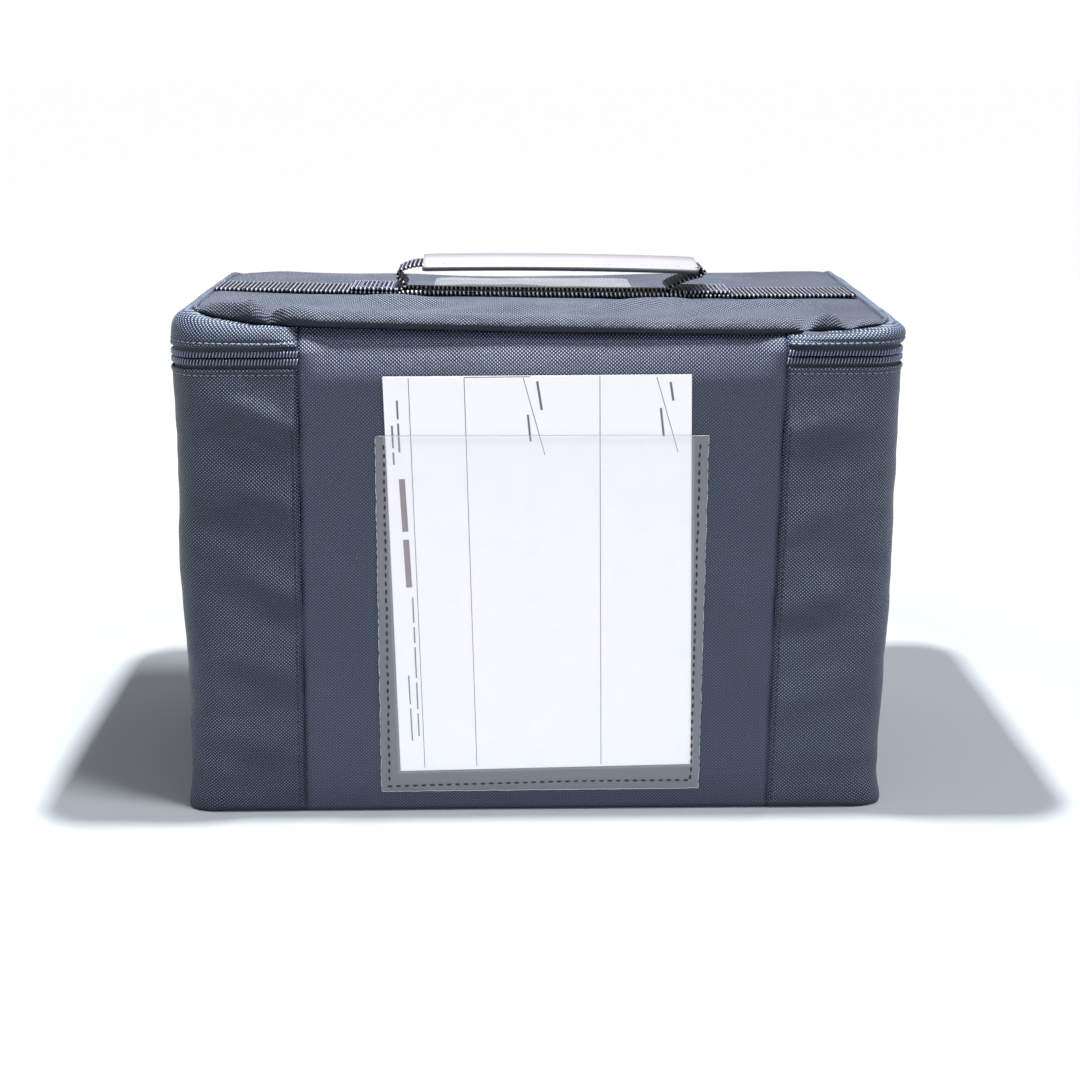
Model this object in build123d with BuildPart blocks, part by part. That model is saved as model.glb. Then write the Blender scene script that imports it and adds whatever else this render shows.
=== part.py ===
"""Insulated specimen transport bag with a zipped lid, a sleeved webbing handle and a label pocket.

The walls are three layers: coated polyester outside, foam in the middle and a wipe-clean lining inside.
X runs along the bag, Y from the label side to the back and Z up from the surface that it stands on.
"""

import os

from build123d import *

os.makedirs("parts", exist_ok=True)

# Outer form of the bag
bag_width = 350.0
base_width = 346.0
bag_depth = 185.0
zip_height = 229.0
lid_rise = 19.0
crease_rise = 11.5
corner_radius = 18.0
lid_edge_round = 7.0
seam_x = 117.0

# Layers of the wall
fabric = 0.9
foam = 6.0
lining = 0.5
base_board_thickness = 2.0
layer_gap = 0.15
binding = 0.6

# Zip fastener
tape_thickness = 0.55
tape_width = 11.5
coil_width = 2.6
coil_depth = 2.0
coil_split = 0.5
hem_above = 4.6
hem_below = 5.0
foam_setback = 6.0

# Zip sliders and pullers
slider_length = 10.0
slider_wall = 0.8
slider_plate = 1.1
slider_clearance = 0.25
bridge_thickness = 0.7
bridge_length = 2.6
crown_span = 6.6
crown_rise = 3.2
crown_thickness = 0.9
crown_width = 2.0
crown_round = 0.8
puller_length = 27.0
puller_width = 5.2
puller_thickness = 1.2
puller_tip_width = 7.0
eye_length = 3.5
eye_width = 3.2
slider_x = 8.0

# Webbing and handle
webbing_width = 30.0
webbing_thickness = 1.6
anchor_length = 24.0
handle_centre_x = 2.0
handle_span = 146.0
leg_bend = 1.6
grip_height = 12.3
sleeve_length = 140.0
sleeve_width = 34.0
sleeve_wall = 1.0
sleeve_offset = 10.0

# Clear pockets and the label card
film = 0.4
pocket_width = 160.0
pocket_bottom = 10.5
pocket_top = 194.0
pocket_border = 4.0
card_width = 148.0
card_height = 202.0
card_thickness = 0.3
card_bottom = 21.5
card_gap = 0.15
lid_pocket_width = 104.0
lid_pocket_depth = 45.0
lid_pocket_air = 0.6
lid_pocket_x = -1.5

# Seams of the lid
seam_ridge_radius = 1.7
seam_ridge_inset = 4.5

# Sizes that follow from those above
front_y = -bag_depth / 2
back_y = bag_depth / 2
lid_top = zip_height + lid_rise
crease_height = zip_height + crease_rise
tape_outer = fabric + layer_gap
tape_inner = tape_outer + tape_thickness
foam_outer = tape_inner + layer_gap
foam_inner = foam_outer + foam
lining_outer = foam_inner + layer_gap
lining_inner = lining_outer + lining
floor_foam_bottom = fabric + base_board_thickness + 2 * layer_gap
lining_floor = floor_foam_bottom + foam + layer_gap
wall_top = zip_height - foam_setback
lid_foam_bottom = crease_height + layer_gap
lid_foam_top = lid_top - fabric - layer_gap
lid_rim_bottom = zip_height + foam_setback
far = 2 * bag_width


def plan(height, inset):
    """The bag's rounded plan at a height, set in from the outer face."""
    share = min(height / zip_height, 1.0)
    width = base_width + (bag_width - base_width) * share
    with BuildSketch(Plane.XY.offset(height)) as outline:
        RectangleRounded(width - 2 * inset, bag_depth - 2 * inset, corner_radius - inset)
    return outline.sketch


def slab(low, high, inset, mode=Mode.ADD):
    """A layer that fills the bag's plan between two heights."""
    loft([plan(low, inset), plan(high, inset)], ruled=True, mode=mode)


def wall(low, high, outer, inner):
    """An upright wall all round the bag between two insets."""
    slab(low, high, outer)
    slab(low, high, inner, mode=Mode.SUBTRACT)


def keep_centre(side):
    """Keeps the stretch of a wall between the two upright seams, on the front (-1) or the back (1)."""
    with Locations((0, side * far / 2, 0)):
        Box(2 * seam_x, far, far, mode=Mode.INTERSECT)


def keep_gusset(side, inset):
    """Keeps the U of a wall outside one pair of upright seams, on the left (-1) or the right (1)."""
    with Locations((side * (seam_x + inset + far / 2), 0, 0)):
        Box(far, far, far, mode=Mode.INTERSECT)


def open_hinge():
    """Removes the front stretch between the seams, where the lid hinges on the front panel."""
    with Locations((0, -far / 2, 0)):
        Box(2 * seam_x, far, far, mode=Mode.SUBTRACT)


def save(built, name):
    """Labels a finished piece and writes it under its own name."""
    built.part.label = name
    export_step(built.part, f"parts/{name}.step")


# Base of the bag: fabric floor, stiffener board and floor foam
with BuildPart() as bottom_panel:
    slab(0, fabric, 0)
save(bottom_panel, "bottom_panel")

with BuildPart() as base_board:
    slab(fabric + layer_gap, fabric + layer_gap + base_board_thickness, tape_inner)
save(base_board, "base_board")

with BuildPart() as bottom_insulation:
    slab(floor_foam_bottom, floor_foam_bottom + foam, lining_outer)
save(bottom_insulation, "bottom_insulation")

# Fabric walls: a straight panel front and back, and a gusset round each end
with BuildPart() as front_panel:
    wall(fabric, zip_height, 0, fabric)
    keep_centre(-1)
save(front_panel, "front_panel")

with BuildPart() as back_panel:
    wall(fabric, zip_height - hem_below, 0, fabric)
    keep_centre(1)
save(back_panel, "back_panel")

for side, end in ((-1, "left"), (1, "right")):
    with BuildPart() as gusset:
        wall(fabric, zip_height - hem_below, 0, fabric)
        keep_gusset(side, 0)
    save(gusset, f"{end}_gusset")

    with BuildPart() as end_insulation:
        wall(floor_foam_bottom, wall_top, foam_outer, foam_inner)
        keep_gusset(side, layer_gap)
    save(end_insulation, f"{end}_insulation")

for side, face in ((-1, "front"), (1, "back")):
    with BuildPart() as face_insulation:
        wall(floor_foam_bottom, wall_top, foam_outer, foam_inner)
        keep_centre(side)
    save(face_insulation, f"{face}_insulation")

# Lining tub and the binding that closes the wall's upper edge
with BuildPart() as lining_tub:
    slab(lining_floor, wall_top, lining_outer)
    slab(lining_floor + lining, wall_top, lining_inner, mode=Mode.SUBTRACT)
save(lining_tub, "inner_lining")

with BuildPart() as mouth_binding:
    wall(wall_top, wall_top + binding, foam_outer, lining_inner)
save(mouth_binding, "mouth_binding")

# Zip fastener: one tape and one coil on the bag, their partners on the lid
with BuildPart() as lower_tape:
    wall(zip_height - tape_width, zip_height - coil_split, tape_outer, tape_inner)
    open_hinge()
save(lower_tape, "lower_zip_tape")

with BuildPart() as lower_coil:
    wall(
        zip_height - coil_split - coil_width,
        zip_height - coil_split,
        tape_outer - coil_depth,
        tape_outer,
    )
    open_hinge()
save(lower_coil, "lower_zip_coil")

with BuildPart() as upper_tape:
    wall(zip_height + coil_split, zip_height + tape_width, tape_outer, tape_inner)
    open_hinge()
save(upper_tape, "upper_zip_tape")

# The upper coil is left out inside the closed sliders, so that the lid can lift out of them
with BuildPart() as upper_coil:
    wall(
        zip_height + coil_split,
        zip_height + coil_split + coil_width,
        tape_outer - coil_depth,
        tape_outer,
    )
    open_hinge()
    with Locations((0, back_y, 0)):
        Box(2 * slider_x + slider_length + 2, bag_depth / 2, far, mode=Mode.SUBTRACT)
save(upper_coil, "upper_zip_coil")

# Zip sliders: two plates on a bridge, lips that hold the coils and a crown for the puller
coil_face = back_y - tape_outer + coil_depth
outer_plate = coil_face + slider_clearance
inner_plate = back_y - tape_inner - slider_clearance
lip_inner = coil_split + coil_width + slider_clearance
slider_half = lip_inner + slider_wall
crown_base = outer_plate + slider_plate
pivot_y = crown_base + puller_thickness
for side, end in ((-1, "left"), (1, "right")):
    middle = side * slider_x
    with BuildPart() as slider:
        with BuildSketch(Plane.XZ.offset(-outer_plate)):
            with Locations((middle, zip_height)):
                RectangleRounded(slider_length, 2 * slider_half, 1.6)
        extrude(amount=-slider_plate)
        chamfer(slider.faces().sort_by(Axis.Y)[-1].edges(), slider_plate / 3)
        with BuildSketch(Plane.XZ.offset(-inner_plate)):
            with Locations((middle, zip_height)):
                RectangleRounded(slider_length, 2 * slider_half, 1.6)
        extrude(amount=slider_plate)
        bridge_x = middle - side * (slider_length - bridge_length - 1.6) / 2
        with Locations((bridge_x, (outer_plate + inner_plate) / 2, zip_height)):
            Box(bridge_length, outer_plate - inner_plate, bridge_thickness)
        lip_reach = outer_plate - (back_y - tape_outer + slider_clearance)
        for edge in (-1, 1):
            lip_z = zip_height + edge * (lip_inner + slider_wall / 2)
            with Locations((middle, outer_plate - lip_reach / 2, lip_z)):
                Box(slider_length - 3.2, lip_reach, slider_wall)
        with BuildSketch(Plane.XY.offset(zip_height - crown_width / 2)):
            with BuildLine():
                FilletPolyline(
                    (middle - crown_span / 2, crown_base),
                    (middle - crown_span / 2, crown_base + crown_rise),
                    (middle + crown_span / 2, crown_base + crown_rise),
                    (middle + crown_span / 2, crown_base),
                    radius=crown_round + crown_thickness,
                )
                Line(
                    (middle + crown_span / 2, crown_base),
                    (middle - crown_span / 2, crown_base),
                )
            make_face()
            with BuildLine():
                inside = crown_span / 2 - crown_thickness
                FilletPolyline(
                    (middle - inside, crown_base),
                    (middle - inside, crown_base + crown_rise - crown_thickness),
                    (middle + inside, crown_base + crown_rise - crown_thickness),
                    (middle + inside, crown_base),
                    radius=crown_round,
                )
                Line((middle + inside, crown_base), (middle - inside, crown_base))
            make_face(mode=Mode.SUBTRACT)
        extrude(amount=crown_width)
    save(slider, f"slider_{end}")

    with BuildPart() as puller:
        with BuildSketch(Plane.XZ.offset(-(pivot_y - puller_thickness / 2))):
            with BuildLine():
                bar = puller_thickness / 2
                tip = middle + side * (puller_length - puller_tip_width / 2)
                Polyline(
                    (tip, zip_height + puller_tip_width / 2),
                    (middle + side * (eye_length + 2 * bar), zip_height + puller_width / 2),
                    (middle - side * bar, zip_height + puller_width / 2),
                    (middle - side * bar, zip_height - puller_width / 2),
                    (middle + side * (eye_length + 2 * bar), zip_height - puller_width / 2),
                    (tip, zip_height - puller_tip_width / 2),
                )
                ThreePointArc(
                    (tip, zip_height - puller_tip_width / 2),
                    (middle + side * puller_length, zip_height),
                    (tip, zip_height + puller_tip_width / 2),
                )
            make_face()
            with Locations((middle + side * (bar + eye_length / 2), zip_height)):
                Rectangle(eye_length, eye_width, mode=Mode.SUBTRACT)
            with Locations((tip, zip_height)):
                Circle(puller_tip_width / 4, mode=Mode.SUBTRACT)
        extrude(amount=-puller_thickness)
    save(puller, f"puller_{end}")

# Lid: rim band, hinge stretch of the front panel and the crowned top panel
with BuildPart() as lid_front_panel:
    wall(zip_height, crease_height, 0, fabric)
    keep_centre(-1)
save(lid_front_panel, "lid_front_panel")

with BuildPart() as lid_back_band:
    wall(zip_height + hem_above, crease_height, 0, fabric)
    keep_centre(1)
save(lid_back_band, "lid_back_band")

for side, end in ((-1, "left"), (1, "right")):
    with BuildPart() as lid_band:
        wall(zip_height + hem_above, crease_height, 0, fabric)
        keep_gusset(side, 0)
    save(lid_band, f"lid_{end}_band")

with BuildPart() as lid_top_panel:
    slab(crease_height, lid_top, fabric / 2)
    fillet(lid_top_panel.faces().sort_by(Axis.Z)[-1].edges(), lid_edge_round)
    offset(amount=-fabric, openings=lid_top_panel.faces().sort_by(Axis.Z)[0])
save(lid_top_panel, "lid_top_panel")

with BuildPart() as lid_insulation:
    slab(lid_foam_bottom, lid_foam_top, fabric * 3 / 2 + layer_gap)
    fillet(
        lid_insulation.faces().sort_by(Axis.Z)[-1].edges(),
        lid_edge_round - fabric - layer_gap,
    )
save(lid_insulation, "lid_insulation")

with BuildPart() as lid_rim_insulation:
    wall(lid_rim_bottom, lid_foam_bottom - layer_gap, foam_outer, foam_inner)
save(lid_rim_insulation, "lid_rim_insulation")

with BuildPart() as lid_lining:
    slab(lid_rim_bottom, lid_foam_bottom - layer_gap, lining_outer)
    slab(lid_rim_bottom, lid_foam_bottom - layer_gap - lining, lining_inner, mode=Mode.SUBTRACT)
save(lid_lining, "lid_lining")

with BuildPart() as lid_binding:
    wall(lid_rim_bottom - binding, lid_rim_bottom, foam_outer, lining_inner)
save(lid_binding, "lid_binding")

# Raised seams along the two short edges of the lid
for side, end in ((-1, "left"), (1, "right")):
    with BuildPart() as seam_ridge:
        ridge_x = side * (bag_width / 2 - lid_edge_round - seam_ridge_inset)
        with BuildSketch(Plane.XZ.offset(front_y + lid_edge_round + fabric)):
            with Locations((ridge_x, lid_top)):
                Circle(seam_ridge_radius)
                with Locations((0, -seam_ridge_radius)):
                    Rectangle(far, 2 * seam_ridge_radius, mode=Mode.SUBTRACT)
        extrude(amount=bag_depth - 2 * lid_edge_round - 2 * fabric)
    save(seam_ridge, f"lid_seam_{end}")

# Webbing sewn across the lid, and the handle's two sewn ends on top of it
webbing_top = lid_top + webbing_thickness
strap_middle = webbing_top + webbing_thickness / 2
grip_z = strap_middle + grip_height
webbing_reach = bag_width / 2 - lid_edge_round - seam_ridge_inset - seam_ridge_radius
with BuildPart() as top_webbing:
    with BuildSketch(Plane.XY.offset(lid_top)):
        Rectangle(2 * webbing_reach, webbing_width)
    extrude(amount=webbing_thickness)
save(top_webbing, "top_webbing")

left_foot = handle_centre_x - handle_span / 2
right_foot = handle_centre_x + handle_span / 2
for side, foot, end in ((-1, left_foot, "left"), (1, right_foot, "right")):
    with BuildPart() as handle_end:
        with BuildSketch(Plane.XY.offset(webbing_top)):
            with Locations((foot + side * anchor_length / 2, 0)):
                Rectangle(anchor_length, webbing_width)
        extrude(amount=webbing_thickness)
    save(handle_end, f"handle_end_{end}")

# Handle: two folded legs, the webbing inside the grip and the clear sleeve round it
grip_left = left_foot + 10.0
grip_right = right_foot + 6.5
with BuildPart() as handle_leg_left:
    with BuildLine(Plane.XZ) as left_path:
        FilletPolyline(
            (left_foot, strap_middle),
            (left_foot + 5.0, strap_middle),
            (left_foot - 3.0, grip_z),
            (grip_left, grip_z),
            radius=leg_bend,
        )
    with BuildSketch(Plane(origin=left_path.line @ 0, x_dir=(0, 1, 0), z_dir=left_path.line % 0)):
        Rectangle(webbing_width, webbing_thickness)
    sweep()
save(handle_leg_left, "handle_leg_left")

with BuildPart() as handle_leg_right:
    with BuildLine(Plane.XZ) as right_path:
        FilletPolyline(
            (right_foot, strap_middle),
            (right_foot - 12.5, strap_middle),
            (right_foot + 16.5, grip_z),
            (grip_right, grip_z),
            radius=leg_bend,
        )
    with BuildSketch(Plane(origin=right_path.line @ 0, x_dir=(0, 1, 0), z_dir=right_path.line % 0)):
        Rectangle(webbing_width, webbing_thickness)
    sweep()
save(handle_leg_right, "handle_leg_right")

with BuildPart() as grip_webbing:
    with BuildSketch(Plane.YZ.offset(grip_left)):
        with Locations((0, grip_z)):
            Rectangle(webbing_width, webbing_thickness)
    extrude(amount=grip_right - grip_left)
save(grip_webbing, "grip_webbing")

sleeve_height = webbing_thickness + 2 * sleeve_wall + 1.0
sleeve_left = handle_centre_x + sleeve_offset - sleeve_length / 2
with BuildPart() as grip_sleeve:
    with BuildSketch(Plane.YZ.offset(sleeve_left)):
        with Locations((0, grip_z)):
            RectangleRounded(sleeve_width, sleeve_height, sleeve_height * 0.45)
            RectangleRounded(
                sleeve_width - 2 * sleeve_wall,
                sleeve_height - 2 * sleeve_wall,
                sleeve_height * 0.2,
                mode=Mode.SUBTRACT,
            )
    extrude(amount=sleeve_length)
save(grip_sleeve, "grip_sleeve")

# Label pocket on the front: a clear sheet sewn on three sides, with a card inside
card_back = front_y - card_gap
pocket_face = front_y - 2 * card_gap - card_thickness - film
with BuildPart() as label_pocket:
    with BuildSketch(Plane.XZ.offset(-front_y)):
        with Locations((0, (pocket_bottom + pocket_top) / 2)):
            Rectangle(pocket_width, pocket_top - pocket_bottom)
    extrude(amount=front_y - pocket_face)
    chamfer(label_pocket.faces().sort_by(Axis.Y)[0].edges(), film / 2)
    with BuildSketch(Plane.XZ.offset(-front_y)):
        cavity_bottom = pocket_bottom + pocket_border
        with Locations((0, (cavity_bottom + pocket_top + 1) / 2)):
            Rectangle(pocket_width - 2 * pocket_border, pocket_top + 1 - cavity_bottom)
    extrude(amount=front_y - pocket_face - film, mode=Mode.SUBTRACT)
save(label_pocket, "label_pocket")

with BuildPart() as label_card:
    with BuildSketch(Plane.XZ.offset(-card_back)):
        with Locations((0.7, card_bottom + card_height / 2)):
            Rectangle(card_width, card_height)
    extrude(amount=card_thickness)
save(label_card, "label_card")

# Small clear pocket on the lid, behind the webbing and open towards it
with BuildPart() as lid_pocket:
    pocket_middle = (lid_pocket_x, webbing_width / 2 + 1 + lid_pocket_depth / 2)
    with BuildSketch(Plane.XY.offset(lid_top)):
        with Locations(pocket_middle):
            Rectangle(lid_pocket_width, lid_pocket_depth)
    extrude(amount=lid_pocket_air + film)
    chamfer(lid_pocket.faces().sort_by(Axis.Z)[-1].edges(), film / 2)
    with BuildSketch(Plane.XY.offset(lid_top)):
        with Locations((lid_pocket_x, pocket_middle[1] - pocket_border)):
            Rectangle(lid_pocket_width - 2 * pocket_border, lid_pocket_depth)
    extrude(amount=lid_pocket_air, mode=Mode.SUBTRACT)
save(lid_pocket, "lid_pocket")
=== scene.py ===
"""Insulated specimen transport bag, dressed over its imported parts.

Navy coated polyester over foam, a lid zipped round three sides, a sleeved webbing handle on top and a
clear label pocket on the front. X runs along the bag, Y from the label side to the back and Z up.
Shapes are worked out in millimetres and turned to metres when each mesh is made.
"""

import math

import bmesh
import bpy
import numpy as np
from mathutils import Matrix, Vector, noise


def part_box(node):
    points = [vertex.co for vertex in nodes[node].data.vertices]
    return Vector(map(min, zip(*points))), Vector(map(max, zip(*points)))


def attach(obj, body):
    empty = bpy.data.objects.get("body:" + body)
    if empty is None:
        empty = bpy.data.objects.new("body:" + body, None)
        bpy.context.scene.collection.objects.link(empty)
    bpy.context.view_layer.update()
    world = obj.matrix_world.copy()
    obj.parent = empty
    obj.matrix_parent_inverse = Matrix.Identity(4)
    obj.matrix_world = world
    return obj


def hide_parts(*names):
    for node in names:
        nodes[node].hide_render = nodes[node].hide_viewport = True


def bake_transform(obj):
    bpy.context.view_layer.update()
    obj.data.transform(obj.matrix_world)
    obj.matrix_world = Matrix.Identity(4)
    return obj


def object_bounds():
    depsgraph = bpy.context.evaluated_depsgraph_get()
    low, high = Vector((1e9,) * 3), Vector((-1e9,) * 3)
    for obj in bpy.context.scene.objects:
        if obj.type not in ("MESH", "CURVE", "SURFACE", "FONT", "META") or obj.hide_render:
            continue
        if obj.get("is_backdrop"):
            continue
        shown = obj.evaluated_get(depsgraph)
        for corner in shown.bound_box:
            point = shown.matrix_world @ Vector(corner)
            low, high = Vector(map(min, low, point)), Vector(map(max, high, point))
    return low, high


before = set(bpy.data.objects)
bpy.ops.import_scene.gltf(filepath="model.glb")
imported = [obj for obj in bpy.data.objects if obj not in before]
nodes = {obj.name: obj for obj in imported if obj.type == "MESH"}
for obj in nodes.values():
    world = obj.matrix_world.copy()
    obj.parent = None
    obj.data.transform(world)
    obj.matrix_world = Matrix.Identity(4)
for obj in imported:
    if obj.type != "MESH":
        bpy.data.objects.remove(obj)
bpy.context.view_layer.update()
mm = 0.001


# Front panel
# One strip of plain-woven polyester with a coating on its inner side, from the bottom seam over the
# hinge fold of the lid. It is sewn to the end gussets along two upright seams, where its edges roll in.
def corners(node):
    """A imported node's lowest and highest corner, in millimetres."""
    low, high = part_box(node)
    return low / mm, high / mm


front_low, front_high = corners("front_panel")
lid_low, lid_high = corners("lid_top_panel")
front_y, back_y = front_low.y, corners("back_panel")[1].y
seam_x, zip_z = front_high.x, front_high.z
crease_z, lid_z = lid_low.z, lid_high.z
hem_z = corners("left_gusset")[1].z
cloth_thickness = 0.9
corner_round = 18.0
thread_spacing = 0.88
beat_up = 1.08


def linear(hex_colour):
    """An sRGB hex colour as linear RGBA."""
    channels = [int(hex_colour[i : i + 2], 16) / 255 for i in (1, 3, 5)]
    return [c / 12.92 if c <= 0.04045 else ((c + 0.055) / 1.055) ** 2.4 for c in channels] + [1.0]


def add(tree, kind, inputs=None, **settings):
    """Adds a node with its settings; inputs are values, sockets or nodes, in order or by name.

    A kind without a family is a shader node. A node stands for its first output.
    """
    made = tree.nodes.new(kind if "Node" in kind else "ShaderNode" + kind)
    for name, value in settings.items():
        setattr(made, name, value)
    inputs = inputs or {}
    for socket, value in inputs.items() if isinstance(inputs, dict) else enumerate(inputs):
        value = value.outputs[0] if isinstance(value, bpy.types.Node) else value
        if isinstance(value, bpy.types.NodeSocket):
            tree.links.new(value, made.inputs[socket])
        else:
            made.inputs[socket].default_value = value
    return made


def shaded(name, **surface):
    """A node material with a Principled shader; surface fills the shader's own inputs."""
    material = bpy.data.materials.new(name)
    material.use_nodes = True
    tree = material.node_tree
    tree.nodes.clear()
    inputs = {key.replace("_", " "): value for key, value in surface.items()}
    shader = add(tree, "BsdfPrincipled", inputs)
    add(tree, "OutputMaterial", {"Surface": shader})
    return material, tree, shader


def woven(name, deep, pale, spacing, relief, slack=0.0, painted_light=(0, 1, 1, 1, 0), **surface):
    """Plain-woven cloth: threads cross as a chequer of pale and deep floats at a real thread spacing.

    The weave follows the piece's own UV map, which holds the cloth's flat lengths in metres. The pale
    floats are painted highlight, and they are painted paler still where the cloth faces up, as painted
    light from above: painted_light holds the lowest and highest upward facing, how strongly the floats show
    at each, and how pale the gaps between them are painted where it stands upright, as painted bounce
    light.
    """
    material, tree, shader = shaded(name, **surface)
    cloth = add(tree, "UVMap", uv_map="cloth").outputs[0]
    wander = add(tree, "TexNoise", {"Vector": cloth, "Scale": 180.0, "Detail": 2.0})
    drift = add(tree, "VectorMath", {0: wander.outputs[1], "Scale": spacing * mm * 0.9},
                operation="SCALE")
    bent = add(tree, "VectorMath", [cloth, drift], operation="ADD")
    count = math.pi / (spacing * mm)
    turns = add(tree, "VectorMath", [bent, (count, count * beat_up, 0)], operation="MULTIPLY")
    axes = add(tree, "SeparateXYZ", [turns])
    warp = add(tree, "Math", [axes], operation="SINE")
    weft = add(tree, "Math", [axes.outputs[1]], operation="SINE")
    float_up = add(tree, "Math", [warp, weft], operation="MULTIPLY")
    lit = add(tree, "MapRange", [float_up, 0.2, 0.95], clamp=True)
    shade = add(tree, "TexNoise", {"Vector": cloth, "Scale": 22.0, "Detail": 4.0})
    worn = add(tree, "MapRange", [shade, 0.3, 0.7, 0.55, 1.0])
    amount = add(tree, "Math", [lit, worn], operation="MULTIPLY")
    facing = add(tree, "SeparateXYZ", [add(tree, "TexCoord").outputs["Normal"]])
    # Painted light by facing: the floats are painted paler where the cloth faces up, as painted highlight,
    # and the gaps are painted paler where it stands upright, as painted bounce light.
    low, high, faint, bright, fill = painted_light
    gain = add(tree, "MapRange", [facing.outputs[2], low, high, faint, bright], clamp=True)
    gaps = add(tree, "MapRange", [facing.outputs[2], low, high, fill, 0.0], clamp=True)
    shown = add(tree, "Math", [amount, gain, gaps], operation="MULTIPLY_ADD")
    tint = add(tree, "Mix", {0: shown, 6: linear(deep), 7: linear(pale)},
               data_type="RGBA", clamp_factor=False)
    tree.links.new(tint.outputs[2], shader.inputs["Base Color"])
    uneven = add(tree, "TexNoise", {"Vector": cloth, "Scale": 260.0, "Detail": 3.0})
    loose = add(tree, "Bump", {"Height": uneven, "Strength": 0.7, "Distance": (0.1 + 3.0 * slack) * mm})
    bump = add(tree, "Bump", {"Height": float_up, "Strength": 0.7, "Distance": relief * mm,
                              "Normal": loose})
    tree.links.new(bump.outputs[0], shader.inputs["Normal"])
    return material


# Textured filament polyester: semi-matt and bluish at a low angle; each float is painted pale as a painted
# highlight, more where the cloth leans back to face up, and the gaps are painted paler where it stands
# upright, as painted bounce light
coated = {"Roughness": 0.42, "Specular_IOR_Level": 0.3, "Sheen_Weight": 0.03, "Sheen_Roughness": 0.45,
          "Sheen_Tint": linear("#b9c6e0")}
polyester = woven("woven_polyester_navy", "#1c2236", "#8b98b4", thread_spacing, 0.3,
                  painted_light=(0.0, 0.36, 0.5, 1.28, 0.075), **coated)


def straight(start, end, count, outward):
    """Points along a straight run of the wall, with the direction that faces out."""
    share = np.linspace(0, 1, count + 1)[:, None]
    return np.array(start) + share * (np.array(end) - np.array(start)), np.tile(outward, (count + 1, 1))


def rounded(centre, radius, first, count):
    """Points round a quarter-turn corner, with the direction that faces out."""
    angle = np.radians(first + np.linspace(0, 90, count + 1))
    outward = np.stack([np.cos(angle), np.sin(angle)], 1)
    return np.array(centre) + radius * outward, outward


def outline(stretch, left, right, front, back, radius, front_seams):
    """Points and outward directions of one stretch of a rounded plan, anticlockwise from above."""
    centre, short, turn, end = 90, 16, 12, 58
    first, last = front_seams
    runs = {
        "front": [straight((first, front), (last, front), centre, (0, -1))],
        "right": [
            straight((last, front), (right - radius, front), short, (0, -1)),
            rounded((right - radius, front + radius), radius, -90, turn),
            straight((right, front + radius), (right, back - radius), end, (1, 0)),
            rounded((right - radius, back - radius), radius, 0, turn),
            straight((right - radius, back), (seam_x, back), short, (0, 1)),
        ],
        "back": [straight((seam_x, back), (-seam_x, back), centre, (0, 1))],
        "left": [
            straight((-seam_x, back), (left + radius, back), short, (0, 1)),
            rounded((left + radius, back - radius), radius, 90, turn),
            straight((left, back - radius), (left, front + radius), end, (-1, 0)),
            rounded((left + radius, front + radius), radius, 180, turn),
            straight((left + radius, front), (first, front), short, (0, -1)),
        ],
    }
    chosen = sum(runs.values(), []) if stretch == "round" else runs[stretch]
    points = np.concatenate([run[0][:-1] for run in chosen] + [chosen[-1][0][-1:]])
    outward = np.concatenate([run[1][:-1] for run in chosen] + [chosen[-1][1][-1:]])
    return points, outward.astype(float)


def seams_at(height):
    """Where the two front seams stand: the whole strip leans a degree to the right on its way up."""
    drift = 3.4 * (height / zip_z)
    return -117.5 + drift, 113.6 + drift


def plan(height, stretch):
    """The bag's outer plan at a height: soft ends that lean right, on a stiff base with squarer corners."""
    up = min(height / zip_z, 1.0)
    places, outward = outline(stretch, -175.6 + 0.3 * up, 171.9 + 2.3 * up, front_y, back_y,
                              corner_round, seams_at(height))
    corner = np.abs(outward[:, 0] * outward[:, 1]) * 2 * math.exp(-((height / 12) ** 2))
    places[:, 0] += 3.8 * corner * np.sign(outward[:, 0])
    return places, outward


def run_length(points):
    """The length of cloth from the first point to each point."""
    steps = np.linalg.norm(np.diff(points, axis=0), axis=1)
    return np.concatenate([[0.0], np.cumsum(steps)])


def ripple(along, up, size, seed):
    """Slow unevenness of stretched cloth, from about -1 to 1, in waves of a size in millimetres."""
    pairs = zip(np.ravel(along) / size, np.ravel(up) / size)
    values = [noise.noise(Vector((a, b, seed))) for a, b in pairs]
    return 1.6 * np.array(values).reshape(np.shape(along))


def bell(distance, width):
    """A smooth rise: 1 where the distance is nothing, fading over a width."""
    return np.exp(-((distance / width) ** 2))


def rolled(distance, reach, depth):
    """How far a sewn edge is drawn in, at a distance from its seam."""
    return depth * np.clip(1 - distance / reach, 0, 1) ** 2


def crease_at(points, outward):
    """Height of the crease where the padded top meets the wall: low along the front, high at the ends."""
    x = points[..., 0]
    front = np.interp(x, (-168, -152, -136, -117, -56, 0, 100, 117, 150, 168),
                      (9.9, 6.6, 3.8, 2.5, 0.7, -0.7, -2.1, -1.8, 0.8, 3.0))
    back = np.interp(x, (-168, -117, 0, 117, 168), (7.5, 2.6, 0.0, 1.0, 6.0))
    end = np.abs(outward[..., 0]) ** 2
    level = np.where(outward[..., 1] < 0, front, back)
    return crease_z + (1 - end) * level + end * (top_at(x, points[..., 1]) - 1.0 - crease_z)


def top_at(x, y):
    """Height of the padded top: highest at the front left, sagging along the middle of the back."""
    across, deep = x / 165, y / 90
    level = lid_z + 0.6 - 2.1 * across + 0.4 * deep + 1.6 * across * deep
    level = level - 1.3 * (1 - across**2)
    sag = bell(across + 0.03, 0.55) * np.clip((deep - 0.2) / 0.8, 0, 1) ** 2
    corner = np.exp(-(((x + 165) / 15) ** 2) - ((y - 92) / 18) ** 2)
    return level - 2.0 * sag - 2.0 * corner


def placed(name, data):
    """Puts a mesh, a lamp or a camera into the scene."""
    thing = bpy.data.objects.new(name, data)
    bpy.context.scene.collection.objects.link(thing)
    return thing


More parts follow.
